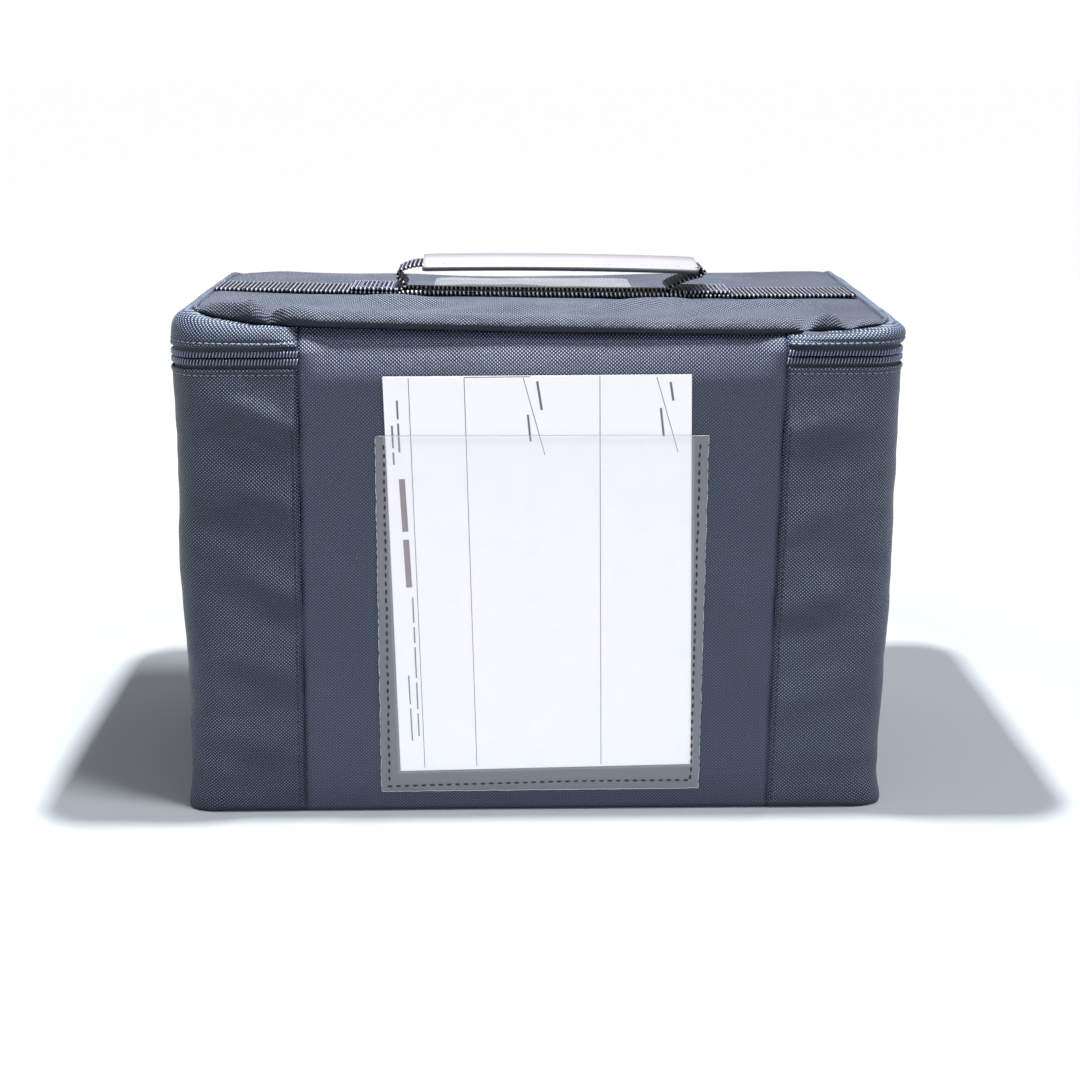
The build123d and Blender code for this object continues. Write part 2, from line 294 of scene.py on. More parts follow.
def settle(piece):
    """Turns a piece and its modifiers into one plain mesh."""
    graph = bpy.context.evaluated_depsgraph_get()
    mesh = bpy.data.meshes.new_from_object(piece.evaluated_get(graph))
    piece.modifiers.clear()
    piece.data = mesh
    return piece


def at_height(places, height):
    """Plan positions raised to their heights."""
    return np.concatenate([places, np.broadcast_to(height, places.shape[:-1])[..., None]], -1)


def weld(mesh, distance):
    """Joins the vertices of a mesh that meet."""
    shape = bmesh.new()
    shape.from_mesh(mesh)
    bmesh.ops.remove_doubles(shape, verts=shape.verts, dist=distance)
    shape.to_mesh(mesh)
    shape.free()


def sheet_of(name, points, cloth, material, thickness=0, flip=False):
    """A smooth sheet through a grid of points, as thick as its cloth, with flat lengths as its UV map."""
    rows, columns = points.shape[:2]
    index = np.arange(rows * columns).reshape(rows, columns)
    quads = np.stack([index[:-1, :-1], index[:-1, 1:], index[1:, 1:], index[1:, :-1]], -1)
    quads = quads.reshape(-1, 4)
    if flip:
        quads = quads[:, ::-1]
    mesh = bpy.data.meshes.new(name)
    mesh.from_pydata((points.reshape(-1, 3) * mm).tolist(), [], quads.tolist())
    corner_of = np.empty(len(mesh.loops), int)
    mesh.loops.foreach_get("vertex_index", corner_of)
    flat = mesh.uv_layers.new(name="cloth")
    flat.data.foreach_set("uv", (cloth.reshape(-1, 2) * mm)[corner_of].astype(np.float32).ravel())
    mesh.polygons.foreach_set("use_smooth", [True] * len(mesh.polygons))
    mesh.materials.append(material)
    weld(mesh, 1e-6)
    piece = placed(name, mesh)
    if thickness:
        solid = piece.modifiers.new("thickness", "SOLIDIFY")
        solid.thickness, solid.offset = thickness * mm, -1.0
        settle(piece)
    return piece


foot_round, foot_draw = 3.2, 2.4
straight_top = 237.2


def foot_inset(height, outward):
    """How far the wall turns under where it is sewn to the bottom; the board fills its corners out."""
    corner = np.clip(np.abs(outward[..., 0] * outward[..., 1]) * 2, 0, 1)
    return foot_draw * (1 - 0.75 * corner) * np.clip(1 - height / foot_round, 0, 1) ** 2


def lean(height, edge):
    """How far the strip leans back towards the crease; beside its seams it stays forward to the zip."""
    middle = 7.2 * np.clip((height - 217) / 24, 0, 1) ** 1.6
    beside = 6.6 * np.clip((height - 231) / 10, 0, 1) ** 1.5
    near = bell(edge, 9)
    return middle * (1 - near) + beside * near


rise = np.concatenate([np.linspace(0, 6, 7), np.linspace(8.4, 221, 88),
                       np.linspace(222, 236, 30), [straight_top - 0.6, straight_top]])
places, outward = (np.stack(rows) for rows in zip(*(plan(z, "front") for z in rise)))
crest = crease_at(places[-1], outward[-1])
share = np.linspace(0.2, 1.0, 7)[:, None]
over = straight_top + share * (crest - straight_top)
up = np.concatenate([np.repeat(rise[:, None], places.shape[1], 1), over])
places = np.concatenate([places, np.repeat(places[-1:], len(over), 0)])
outward = np.concatenate([outward, np.repeat(outward[-1:], len(over), 0)])
along = np.tile(run_length(places[0]), (len(up), 1))
edge = np.minimum(along, along.max() - along)
foot = foot_inset(up, outward)
relief = -0.3 + 0.3 * ripple(along, up, 70, 3.1) - rolled(edge, 3.0, 1.1) * np.clip(up / 6, 0, 1) - foot
relief = np.clip(relief, -1.3 - foot, 0) - lean(up, edge) - rolled(crest[None] - up, 3.4, 1.6)
below_zip = up < hem_z - 0.3
relief = np.where(below_zip, np.maximum(relief, -1.6 - foot), relief)
points = at_height(places + outward * relief[..., None], up)
front = sheet_of("front_panel_cloth", points, np.stack([along, up], -1), polyester, cloth_thickness)
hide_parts("front_panel", "lid_front_panel")
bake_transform(front)


# End gussets and back panel
# The same polyester goes round each end from front seam to back seam, and a straight panel closes the
# back. Their upper edge is turned in and sewn down beside the zip. The soft cloth cockles off the seams.
# The ends are copies of the same cloth with their own painted light: the upward sides of their folds are
# painted paler as painted highlight, and the left end's copy is darker than the right's as painted shade.
end_painted_light = (-0.2, 0.25, 0.55, 1.75, 0.02)
cloth_by_end = {
    "left": woven("woven_polyester_left_painted_shade", "#191f2d", "#7c8ba4", thread_spacing, 0.32, painted_light=end_painted_light,
                  **coated),
    "right": woven("woven_polyester_right", "#1f2636", "#8493ac", thread_spacing, 0.32, painted_light=end_painted_light,
                   **coated),
    "back": polyester,
}
wall_folds = {
    "left": (((-20, 203), -24, 22, 8, 2.2), ((-34, 186), -20, 24, 9, -1.4), ((-15, 162), -22, 18, 8, 2.0),
             ((-28, 143), -18, 22, 9, -1.2), ((-14, 118), -28, 18, 7, 1.8), ((-11, 99), -16, 14, 6, -1.2),
             ((-18, 78), -24, 22, 9, 1.6), ((-60, 130), 70, 60, 14, 0.8), ((-30, 40), -12, 26, 9, 0.8),
             ((-120, 90), 100, 60, 18, 0.8)),
    "right": (((16, 196), 20, 18, 8, 1.7), ((30, 180), 16, 22, 9, -1.0), ((13, 150), 28, 18, 8, 1.4),
              ((18, 110), 20, 18, 8, 1.2), ((12, 92), 14, 14, 6, -1.0), ((20, 62), 22, 20, 9, 1.0),
              ((60, 120), 110, 60, 14, 0.8), ((140, 100), 80, 50, 18, 0.8)),
    "back": (((60, 60), 30, 40, 14, 0.6), ((170, 150), -30, 45, 16, 0.6), ((110, 100), 10, 60, 20, -0.5)),
}


def fold(along, up, place, turn, length, width, height, gain=1.5):
    """A soft ridge (or, where height is negative, a hollow) that fades at its ends and sides."""
    c, s = math.cos(math.radians(turn)), math.sin(math.radians(turn))
    run = (along - place[0]) * c + (up - place[1]) * s
    side = (up - place[1]) * c - (along - place[0]) * s
    return gain * height * np.exp(-((run / length) ** 2) - (side / width) ** 2)


def fit(piece, body, slot, *packed):
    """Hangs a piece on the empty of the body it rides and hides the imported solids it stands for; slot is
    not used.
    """
    if packed:
        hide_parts(*packed)
    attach(piece, body)


def wall_cloth(stretch, seed):
    """The outer cloth of one stretch of the wall, from the bottom seam to the hem below the zip."""
    rise = np.concatenate([np.linspace(0, 6, 7), np.linspace(8.4, hem_z - 6.4, 84),
                           np.linspace(hem_z - 5.2, hem_z, 14)])
    places, outward = (np.stack(rows) for rows in zip(*(plan(z, stretch) for z in rise)))
    along, up = np.meshgrid(run_length(places[-1]), rise)
    length = along.max()
    edge = np.minimum(along, length - along)
    relief = 0.1 + 0.5 * ripple(along, up, 42, seed) + 0.35 * ripple(along, up * 1.6, 18, seed + 5)
    for place, turn, reach, width, height in wall_folds[stretch]:
        start = length + place[0] if place[0] < 0 else place[0]
        relief = relief + fold(along, up, (start, place[1]), turn, reach, width, height)
    pucker = 0.5 + 0.5 * np.sin(2 * math.pi * up / 8.5 + 2.5 * ripple(along, up, 30, seed + 9))
    relief = relief - 0.35 * pucker * np.exp(-edge / 5)
    calm = np.clip((hem_z - up) / 14, 0.08, 1) * np.clip(up / 14, 0.1, 1)
    foot = foot_inset(up, outward)
    relief = relief * calm - rolled(edge, 2.6, 1.5) * np.clip(up / 6, 0, 1) - foot
    relief = relief + 0.75 * bell(hem_z - up - 1.1, 1.2)
    relief = relief - 0.3 * bell(hem_z - up - 2.8, 0.7)
    ear = np.clip(np.abs(outward[..., 0] * outward[..., 1]) * 2, 0, 1) * bell(up, 9)
    relief = np.maximum(relief + 0.4 * ear, -1.3 - foot)
    points = at_height(places + outward * relief[..., None], up)
    proud = points + at_height(outward * stitch_lift, 0.0)
    hem_lines.append(proud[int(np.argmin(np.abs(rise - (hem_z - 2.8)))), 1:-1])
    seam_rows = (rise > 5) & (rise < 197)
    seam_lines.extend([proud[seam_rows, 1], proud[seam_rows, -2]])
    return sheet_of(f"{stretch}_wall_cloth", points, np.stack([along, up], -1), cloth_by_end[stretch],
                    cloth_thickness)


stitch_lift = 0.12
hem_lines, seam_lines = [], []
for stretch, node, seed in (
        ("left", "left_gusset", 1.7), ("right", "right_gusset", 6.2), ("back", "back_panel", 11.4)):
    fit(wall_cloth(stretch, seed), "bag", "polyester", node)


# Bottom panel
# The same coated polyester, under a stiff board that keeps it flat. It is sewn to the walls all round,
# and the bag stands on it.
def flat_rings(places, outward, first, rows):
    """Rings that close a rounded outline towards its middle line, from the outside in."""
    centre_x = (places[:, 0].max() + places[:, 0].min()) / 2
    reach = (places[:, 0].max() - places[:, 0].min()) / 2 - np.abs(places[:, 1]).max()
    middle = np.stack([np.clip(places[:, 0] - centre_x, -reach, reach) + centre_x,
                       np.zeros(len(places))], 1)
    start = places - outward * first
    shares = np.linspace(1, 0, rows)[:, None, None]
    return middle + (start - middle) * shares


middle_gap = 2e-5
places, outward = plan(0.0, "round")
rings = flat_rings(places, outward, foot_inset(0.0, outward)[:, None] + 0.2, 24)
points = at_height(rings, 0.35 - 0.35 * np.clip(np.linspace(0, 6, 24), 0, 1)[:, None])
bottom = sheet_of("bottom_cloth", points, rings, polyester, flip=True)
weld(bottom.data, middle_gap)
fit(bottom, "bag", "polyester", "bottom_panel")


# Base board and foam
# A grey board stiffens the floor. The foam is closed-cell polyethylene in sawn sheets, whose skin shows
# fine cells. The lining and the bindings hide it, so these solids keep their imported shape.
def grained(name, colour, other, scale, depth, **surface):
    """An even finish whose colour and relief vary with a fine grain, in object coordinates."""
    material, tree, shader = shaded(name, **surface)
    place = add(tree, "TexCoord").outputs["Object"]
    grain = add(tree, "TexNoise", {"Vector": place, "Scale": scale, "Detail": 5.0})
    tint = add(tree, "Mix", {0: grain, 6: linear(colour), 7: linear(other)}, data_type="RGBA")
    tree.links.new(tint.outputs[2], shader.inputs["Base Color"])
    bump = add(tree, "Bump", {"Height": grain, "Strength": 0.6, "Distance": depth * mm})
    tree.links.new(bump.outputs[0], shader.inputs["Normal"])
    return material


def dress(name, material):
    """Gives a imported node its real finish."""
    nodes[name].data.materials.clear()
    nodes[name].data.materials.append(material)


# Foam is matt with a fine uneven skin, and the board shows short fibres
foam = grained("polyethylene_foam_white", "#dfe2e4", "#f1f2f2", 900.0, 0.25, Roughness=0.85)
board = grained("fibre_board_grey", "#77787a", "#95938e", 450.0, 0.08, Roughness=0.75)
dress("base_board", board)
for name in ("bottom", "front", "back", "left", "right"):
    dress(f"{name}_insulation", foam)


# Linings
# A tub of smooth, wipe-clean film laid over the foam, and a matching tray under the lid. The film is
# glossy and a little slack, and its edge is caught in the binding.
half_width = corners("lid_right_band")[1].x
film_inset = 8.0
# Smooth film: broad soft highlights that break where it lies slack
lining = grained("polyurethane_film_grey", "#7b8087", "#898e95", 60.0, 0.4, Roughness=0.3)


def tray(name, rim_z, floor_z, turn, rows, material):
    """A soft tray: a ring of wall from the rim to the floor, a rounded foot and a flat floor."""
    places, outward = outline("round", -half_width + film_inset + 1.4, half_width - film_inset - 1.4,
                              front_y + film_inset, back_y - film_inset, corner_round - film_inset,
                              (-seam_x, seam_x))
    sign = 1 if rim_z > floor_z else -1
    wall = np.linspace(rim_z, floor_z + sign * turn, rows)
    bend = np.radians(np.linspace(0, 90, 7)[1:])
    heights = np.concatenate([wall, floor_z + sign * turn * (1 - np.sin(bend))])
    insets = np.concatenate([np.zeros(rows), turn * (1 - np.cos(bend))])
    sides = places[None] - outward[None] * insets[:, None, None]
    along, up = np.meshgrid(run_length(places), heights)
    drop = np.abs(up - rim_z)
    slack = 0.35 * ripple(along, drop, 55, 4.4) * np.clip(drop / 12, 0, 1)
    sides = sides - outward[None] * (0.25 + np.abs(slack))[..., None]
    floor = flat_rings(places, outward, turn + 0.6, 26)[1:]
    level = floor_z + sign * 0.3 * (1 + ripple(floor[..., 0], floor[..., 1], 60, 8.3))
    points = np.concatenate([at_height(sides, up), at_height(floor, level)])
    cloth = np.concatenate([np.stack([along, up], -1), floor])
    piece = sheet_of(name, points, cloth, material, flip=sign < 0)
    weld(piece.data, middle_gap)
    return piece


tub_low, tub_high = corners("inner_lining")
tub = tray("lining_tub", tub_high.z, tub_low.z + 0.5, 6.0, 36, lining)
fit(tub, "bag", "lining", "inner_lining")
lid_tray_low, lid_tray_high = corners("lid_lining")
lid_tray = tray("lid_lining_tray", lid_tray_low.z, lid_tray_high.z - 0.7, 2.5, 4, lining)
fit(lid_tray, "lid", "lining", "lid_lining")


# Bindings
# Folded grosgrain tape of polyester closes the top of the wall and the rim of the lid. It is sewn over
# the raw edges of the foam and the lining.

# Ribbed tape: matt, with ribs too fine to show as more than a grain
grosgrain = woven("grosgrain_tape_navy", "#1d2130", "#3f465a", 0.6, 0.2, Roughness=0.6)


def binding(name, node, body, set_back=0.0):
    """A flat ring of tape with rounded edges, puckered slightly by its stitching."""
    low, high = corners(node)
    middle, half = (low.z + high.z) / 2, (high.z - low.z) / 2
    turn = np.radians(np.linspace(-90, 270, 17))
    outer_inset, inner_inset = 1.75, 8.4
    centre, reach = (outer_inset + inner_inset) / 2, (inner_inset - outer_inset) / 2
    places, outward = outline("round", low.x - outer_inset, high.x + outer_inset,
                              low.y - outer_inset + set_back, high.y + outer_inset, corner_round,
                              (-seam_x, seam_x))
    length = run_length(places)
    wave = 0.18 * np.sin(2 * math.pi * length / 6.0)
    bulge = np.sign(np.sin(turn)) * np.abs(np.sin(turn)) ** 0.5
    side = np.sign(np.cos(turn)) * np.abs(np.cos(turn)) ** 0.5
    ring = places[None] - outward[None] * (centre - reach * side)[:, None, None]
    height = middle + half * bulge[:, None] * (1 + wave[None])
    cloth = np.stack(np.meshgrid(length, turn * 3.0), -1)
    piece = sheet_of(name, at_height(ring, height), cloth, grosgrain)
    fit(piece, body, "binding", node)


binding("mouth_binding_tape", "mouth_binding", "bag", set_back=1.4)
binding("lid_binding_tape", "lid_binding", "lid", set_back=4.4)


# Zip tapes
# Narrow woven tape carries each row of the zip. It lies behind the turned hems of the wall and the lid
# and shows in the slot between them.

# Close-woven polyester: matt, its weave barely seen
tape_cloth = woven("woven_zip_tape_navy", "#1c2030", "#394058", 0.5, 0.12, Roughness=0.6)
tape_inset = 1.15


def wall_run(height, inset):
    """The zip's route at a height: from the front right seam round the back to the front left seam."""
    places, outward = zip(*(plan(height, stretch) for stretch in ("right", "back", "left")))
    places, outward = (np.concatenate([a[:-1], b[:-1], c]) for a, b, c in (places, outward))
    return places - outward * inset, outward


for name, node, body in (("lower_tape_cloth", "lower_zip_tape", "bag"),
                         ("upper_tape_cloth", "upper_zip_tape", "lid")):
    low, high = corners(node)
    rise = np.linspace(low.z, high.z, 6)
    places, outward = wall_run(zip_z, tape_inset)
    length = run_length(places)
    front_end = bell(np.minimum(length, length.max() - length), 12)
    drawn = [places - outward * (front_end * lean(z, 0.0))[:, None] for z in rise]
    points = np.stack([at_height(row, z) for row, z in zip(drawn, rise)])
    cloth = np.stack(np.meshgrid(length, rise), -1)
    fit(sheet_of(name, points, cloth, tape_cloth, 0.5), body, "zip_tape", node)


# Zip coil
# Nylon monofilament wound in a flat coil on each tape, with the two rows meshing half a turn apart.
# Each turn shows as a loop that stands off the tape, drawn in at its middle where it is sewn down.
def socket(tree, name, kind, output=False):
    """Adds a named input or output to a geometry node tree."""
    return tree.interface.new_socket(name=name, in_out="OUTPUT" if output else "INPUT", socket_type=kind)


def row_tree(name, sizes, build):
    """A tree that sets one small shape at every step along the routes that it is given."""
    tree = bpy.data.node_groups.new(name, "GeometryNodeTree")
    socket(tree, "Geometry", "NodeSocketGeometry")
    socket(tree, "Geometry", "NodeSocketGeometry", output=True)
    for size in ("Step", *sizes):
        socket(tree, size, "NodeSocketFloat")
    socket(tree, "Material", "NodeSocketMaterial")
    given = add(tree, "NodeGroupInput").outputs
    route = add(tree, "GeometryNodeMeshToCurve", [given["Geometry"]])
    spaced = add(tree, "GeometryNodeCurveToPoints", {"Curve": route, "Length": given["Step"]},
                 mode="LENGTH")
    facing = add(tree, "FunctionNodeAlignRotationToVector", {"Vector": spaced.outputs["Tangent"]},
                 axis="X", pivot_axis="AUTO")
    shape = build(tree, given)
    copies = add(tree, "GeometryNodeInstanceOnPoints", {
        "Points": spaced, "Instance": shape, "Rotation": facing})
    real = add(tree, "GeometryNodeRealizeInstances", [copies])
    painted = add(tree, "GeometryNodeSetMaterial", {0: real, "Material": given["Material"]})
    add(tree, "NodeGroupOutput", [painted])
    return tree


def grow(name, routes, tree, sizes, material):
    """Runs a row tree along routes of points in millimetres and keeps the result as a plain mesh."""
    edges, first = [], 0
    for route in routes:
        edges += [(first + i, first + i + 1) for i in range(len(route) - 1)]
        first += len(route)
    mesh = bpy.data.meshes.new(name)
    mesh.from_pydata([tuple(np.array(p) * mm) for route in routes for p in route], edges, [])
    piece = placed(name, mesh)
    rows = piece.modifiers.new("rows", "NODES")
    rows.node_group = tree
    identifiers = {item.name: item.identifier for item in tree.interface.items_tree
                   if item.in_out == "INPUT"}
    for size, value in sizes.items():
        rows[identifiers[size]] = value * mm
    rows[identifiers["Material"]] = material
    return settle(piece)


def coil_turn(tree, given):
    """One turn of the coil: a half loop of round wire, pressed in at its middle by the sewing."""
    arc = add(tree, "GeometryNodeCurveArc", {"Resolution": 7, "Radius": 1.0,
                                             "Start Angle": math.radians(-90),
                                             "Sweep Angle": math.radians(180)}, mode="RADIUS")
    here = add(tree, "GeometryNodeInputPosition")
    axes = add(tree, "SeparateXYZ", [here])
    half = add(tree, "Math", [given["Width"], 0.5], operation="MULTIPLY")
    lean = add(tree, "Math", [axes.outputs[1], given["Lean"]], operation="MULTIPLY")
    off_middle = add(tree, "Math", [axes.outputs[1]], operation="ABSOLUTE")
    pressed = add(tree, "Math", [off_middle, -0.55, -0.68], operation="MULTIPLY_ADD")
    out = add(tree, "Math", [axes, given["Depth"]], operation="MULTIPLY")
    outside = add(tree, "Math", [out, pressed], operation="MULTIPLY")
    rise = add(tree, "Math", [axes.outputs[1], half], operation="MULTIPLY")
    place = add(tree, "CombineXYZ", [lean, outside, rise])
    loop = add(tree, "GeometryNodeSetPosition", {"Geometry": arc, "Position": place})
    wire = add(tree, "GeometryNodeCurvePrimitiveCircle", {"Resolution": 6, "Radius": given["Wire"]},
               mode="RADIUS")
    tube = add(tree, "GeometryNodeCurveToMesh", {"Curve": loop, "Profile Curve": wire})
    return add(tree, "GeometryNodeSetShadeSmooth", {"Geometry": tube})


# Drawn nylon: smooth and hard, so that each turn carries a small highlight
nylon = grained("nylon_monofilament_navy", "#5d6980", "#7f8ca6", 700.0, 0.02, Roughness=0.22,
                Coat_Weight=0.5)
coil_pitch, coil_width, coil_depth = 1.5, 2.7, 1.5
coil_tree = row_tree("zip_coil_row", ("Width", "Depth", "Lean", "Wire"), coil_turn)

for name, node, body, first in (("lower_coil_turns", "lower_zip_coil", "bag", 0.0),
                                ("upper_coil_turns", "upper_zip_coil", "lid", coil_pitch / 2)):
    low, high = corners(node)
    places, outward = wall_run(zip_z, tape_inset - 0.1)
    route = at_height(places, (low.z + high.z) / 2)
    route[0] = route[0] + (route[1] - route[0]) * first / np.linalg.norm(route[1] - route[0])
    coil = grow(name, [route], coil_tree, {"Step": coil_pitch, "Width": coil_width,
                                           "Depth": coil_depth, "Lean": 0.3, "Wire": 0.31}, nylon)
    fit(coil, body, "zip_coil", node)


# Zip sliders and pull tabs
# Die-cast zinc, stove-enamelled in dark blue-grey. They meet at the middle of the back, and the enamel has
# a slight gloss.

# Stoved enamel: smooth, with a soft highlight under a thin clear skin
enamel = grained("stove_enamel_blue_grey", "#2a2f3c", "#353b4a", 350.0, 0.03, Roughness=0.32,
                 Coat_Weight=0.4, Coat_Roughness=0.15)
for name in ("slider_left", "slider_right", "puller_left", "puller_right"):
    dress(name, enamel)


# Lid bands
# A band of the same polyester hangs from the padded top and ends in a turned hem above the zip. It is
# puffed out by the foam, and at the ends of the bag it rolls over onto the top, to the raised seams.
end_seam_inset = 8.5
crease_inset = 6.8
band_hem_z = corners("lid_right_band")[0].z
band_edge_z = band_hem_z + 0.7
fullness = {"left": (0.7, 2.0, 0.35), "right": (1.6, 1.5, 0.0), "back": (1.4, 1.3, 0.0)}
pinch_places = ((-146, 11, 2.0), (-125, 5, 2.4), (136, 7, 1.7), (152, 6, 0.8))


def crease_ring(stretch):
    """The line where the wall meets the padded top; at the left it draws in towards the front."""
    places, outward = outline(stretch, -half_width + end_seam_inset, half_width - end_seam_inset - 0.6,
                              front_y + crease_inset, back_y - 1.6, 11.0, seams_at(zip_z))
    forward = np.clip((back_y - places[:, 1]) / (back_y - front_y), 0, 1)
    places[:, 0] += 3.4 * forward * np.clip((-places[:, 0] - 125) / 35, 0, 1)
    return places, outward


def lid_band(name, node, stretch, seed):
    """The outer cloth of one stretch of the lid's band."""
    start, outward = plan(band_hem_z, stretch)
    finish, finish_out = crease_ring(stretch)
    crest = crease_at(finish, finish_out)
    share = np.concatenate([np.linspace(0, 0.3, 15), np.linspace(0.34, 1, 17)])[:, None]
    swell, hook, plain = fullness[stretch]
    bend = plain * share + (1 - plain) * (1 - np.cos(math.pi / 2 * share)) ** hook
    lift = np.sin(math.pi / 2 * share)
    up = band_edge_z + (crest - band_edge_z)[None] * lift
    along = np.tile(run_length(start), (len(share), 1))
    from_front = {"right": along, "left": along.max() - along, "back": along + 1000}[stretch]
    sewn = bell(from_front, 7)
    bend = bend * (1 - sewn) + np.clip(lean(up, 0 * up) / crease_inset, 0, 1) * sewn
    places = start[None] + (finish - start)[None] * bend[..., None]
    puff = swell * np.sin(math.pi * share**0.8) + 0.25
    puff = puff + 0.35 * ripple(along, up * 2, 24, seed)
    edge = np.minimum(along, along.max() - along)
    puff = puff * np.clip(0.25 + edge / 8, 0, 1) - rolled(edge, 2.0, 1.0)
    puff = puff * np.clip(share * 9, 0.4, 1)
    above = up - band_edge_z
    puff = puff + 0.5 * bell(above - 0.9, 1.0) - 0.35 * bell(above - 2.3, 0.6)
    points = at_height(places + outward[None] * puff[..., None], up)
    sewn_row = int(np.argmin(np.abs(up.mean(1) - band_edge_z - 2.1)))
    band_lines.append((points[sewn_row] + at_height(outward * stitch_lift, 0.0))[1:-1])
    band = sheet_of(name, points, np.stack([along, up], -1), cloth_by_end[stretch], cloth_thickness)
    fit(band, "lid", "polyester", node)


band_lines = []
lid_band("left_band_cloth", "lid_left_band", "left", 2.9)
lid_band("right_band_cloth", "lid_right_band", "right", 7.7)
lid_band("back_band_cloth", "lid_back_band", "back", 13.3)


# Padded top
# Polyester over foam, sewn in along the crease so that its edge swells out over the seam. It is slack:
# it sags at the middle of the back, and pinches where the cloth was eased round the front corners.
top_folds = (
    ((46, -50), 36, 34, 7, 3.6), ((20, -40), 32, 24, 8, -2.4), ((80, -58), 42, 24, 8, -2.2),
    ((0, -56), 28, 22, 7, 2.2), ((-68, -46), -8, 32, 7, 3.0), ((-66, -62), -4, 26, 6, -1.8),
    ((112, -40), -6, 34, 7, 2.6), ((-122, -48), 25, 24, 8, 2.0), ((-30, -66), 6, 30, 6, 1.4),
    ((-147, -83), 6, 14, 4.5, 1.2), ((-147, -70), 4, 16, 5, -1.2), ((-126, -80), 62, 13, 3.0, -2.6),
    ((-135, -80), 62, 10, 3.4, 1.8), ((-113, -80), 70, 12, 6, 1.5), ((127, -84), 118, 14, 3.0, -2.7),
    ((147, -82), 140, 13, 3.0, -2.4), ((137, -83), 128, 13, 5, 1.5), ((-90, 60), 20, 36, 14, 0.9),
    ((90, 58), -25, 34, 12, 1.0), ((30, 74), 8, 40, 8, 0.7),
)


def top_relief(x, y):
    """The padded top with its folds and the swollen edge along the front."""
    height = top_at(x, y) + 0.35 * ripple(x, y, 34, 5.5)
    for place, turn, reach, width, rise in top_folds:
        height = height + fold(x, y, place, turn, reach, width, rise)
    height = height + 1.3 * bell(y + 83, 3.6) - 0.7 * bell(y + 75, 3.4)
    return height + 0.5 * bell(y - 84, 6)


def pinch_at(x, y):
    """How far the front face of the padded top is drawn in under itself."""
    drawn = sum(depth * np.exp(-(((x - place) / reach) ** 2)) for place, reach, depth in pinch_places)
    return np.where(y < 0, drawn, 0)


# The same cloth in a copy with its own painted light: a little darker than the walls as painted shade, with
# the undercut below its swollen front edge painted darker as painted shade and its upward faces paler as
# painted highlight. It is rougher and less glossy, and its slack weave mottles at a low angle.
top_cloth = woven("woven_polyester_top", "#1e222e", "#8a94a6", thread_spacing, 0.32, slack=0.6,
                  painted_light=(-0.1, 0.5, 0.25, 1.15, 0.0), Roughness=0.55, Specular_IOR_Level=0.18)
places, outward = crease_ring("round")
crest = crease_at(places, outward)
face = 1 - np.abs(outward[:, 0]) ** 2
pinch = pinch_at(places[:, 0], places[:, 1]) * face
share = np.linspace(0, 1, 18)[:, None]
deepest_pinch, turn_in = 4.6, 4.6
hollow = np.clip(pinch / deepest_pinch, 0, 1)[None]
swell = 2.9 * face[None] * np.sin(math.pi * share**0.5) ** 0.8 * (1 - hollow)
swell = swell - turn_in * share**2 * (1 - 0.75 * hollow) - 1.1 * pinch[None] * np.sin(math.pi * share**0.8)
swell = swell - 1.8 * face[None] * (1 - share) ** 4
sides = places[None] + outward[None] * swell[..., None]
brow = top_relief(sides[-1, :, 0], sides[-1, :, 1])
height = crest[None] + (brow - crest)[None] * (1 - (1 - share) ** 1.5)
first = at_height(sides, height)
inner = flat_rings(sides[-1], outward, 0.0, 44)[1:]
second = at_height(inner, top_relief(inner[..., 0], inner[..., 1]))
steps = np.linalg.norm(np.diff(first, axis=0), axis=-1)
reach = np.concatenate([np.cumsum(steps[::-1], 0)[::-1], np.zeros((1, len(places)))])
cloth = np.concatenate([sides[-1][None] + outward[None] * reach[..., None], inner])
top = sheet_of("padded_top", np.concatenate([first, second]), cloth, top_cloth)
weld(top.data, middle_gap)
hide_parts("lid_top_panel", "lid_insulation", "lid_rim_insulation")
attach(top, "lid")


# Raised end seams
# Along both short edges the polyester of the top and of the band is sewn together, and the seam stands
# up as a ridge.
def tube(name, route, width, height, material, sides=10):
    """A smooth tube of oval section along a route, with rounded ends."""
    route = np.array(route, float)
    heading = np.gradient(route, axis=0)
    heading /= np.linalg.norm(heading, axis=1)[:, None]
    across = np.cross(heading, (0, 0, 1.0))
    across /= np.linalg.norm(across, axis=1)[:, None]
    above = np.cross(across, heading)
    length = run_length(route)
    turn = np.linspace(0, 2 * math.pi, sides + 1)
    end = np.minimum(length, length[-1] - length)
    taper = np.sqrt(np.clip(end / (width / 2), 0.02, 1))[:, None]
    points = np.stack([
        route + across * math.cos(t) * width / 2 * taper + above * math.sin(t) * height / 2 * taper
        for t in turn])
    cloth = np.stack([np.stack([length, np.full(len(length), t * width / 2)], -1) for t in turn])
    return sheet_of(name, points, cloth, material)


for end in ("left", "right"):
    places, outward = crease_ring(end)
    kept = np.abs(outward[:, 0]) > 0.6
    places, outward = places[kept], outward[kept]
    wave = 0.35 * ripple(places[:, 1], places[:, 0], 16, 9.2)
    height = crease_at(places, outward) + 0.9 + 0.6 * wave - 5 * (1 - np.abs(outward[:, 0]))
    seam = tube(f"{end}_seam_ridge", at_height(places, height), 2.2, 3.0, cloth_by_end[end])
    fit(seam, "lid", "polyester", f"lid_seam_{end}")


# Lid webbing and handle
# Ribbed polypropylene webbing, 30 mm wide. One length is sewn across the lid from seam to seam, with a
# narrow folded layer over it under the grip. The handle is another length, sewn down at two flat ends and
# folded back on itself into a carrying loop.
rib_pitch = 2.2
web_width, web_thickness = 30.0, 1.6


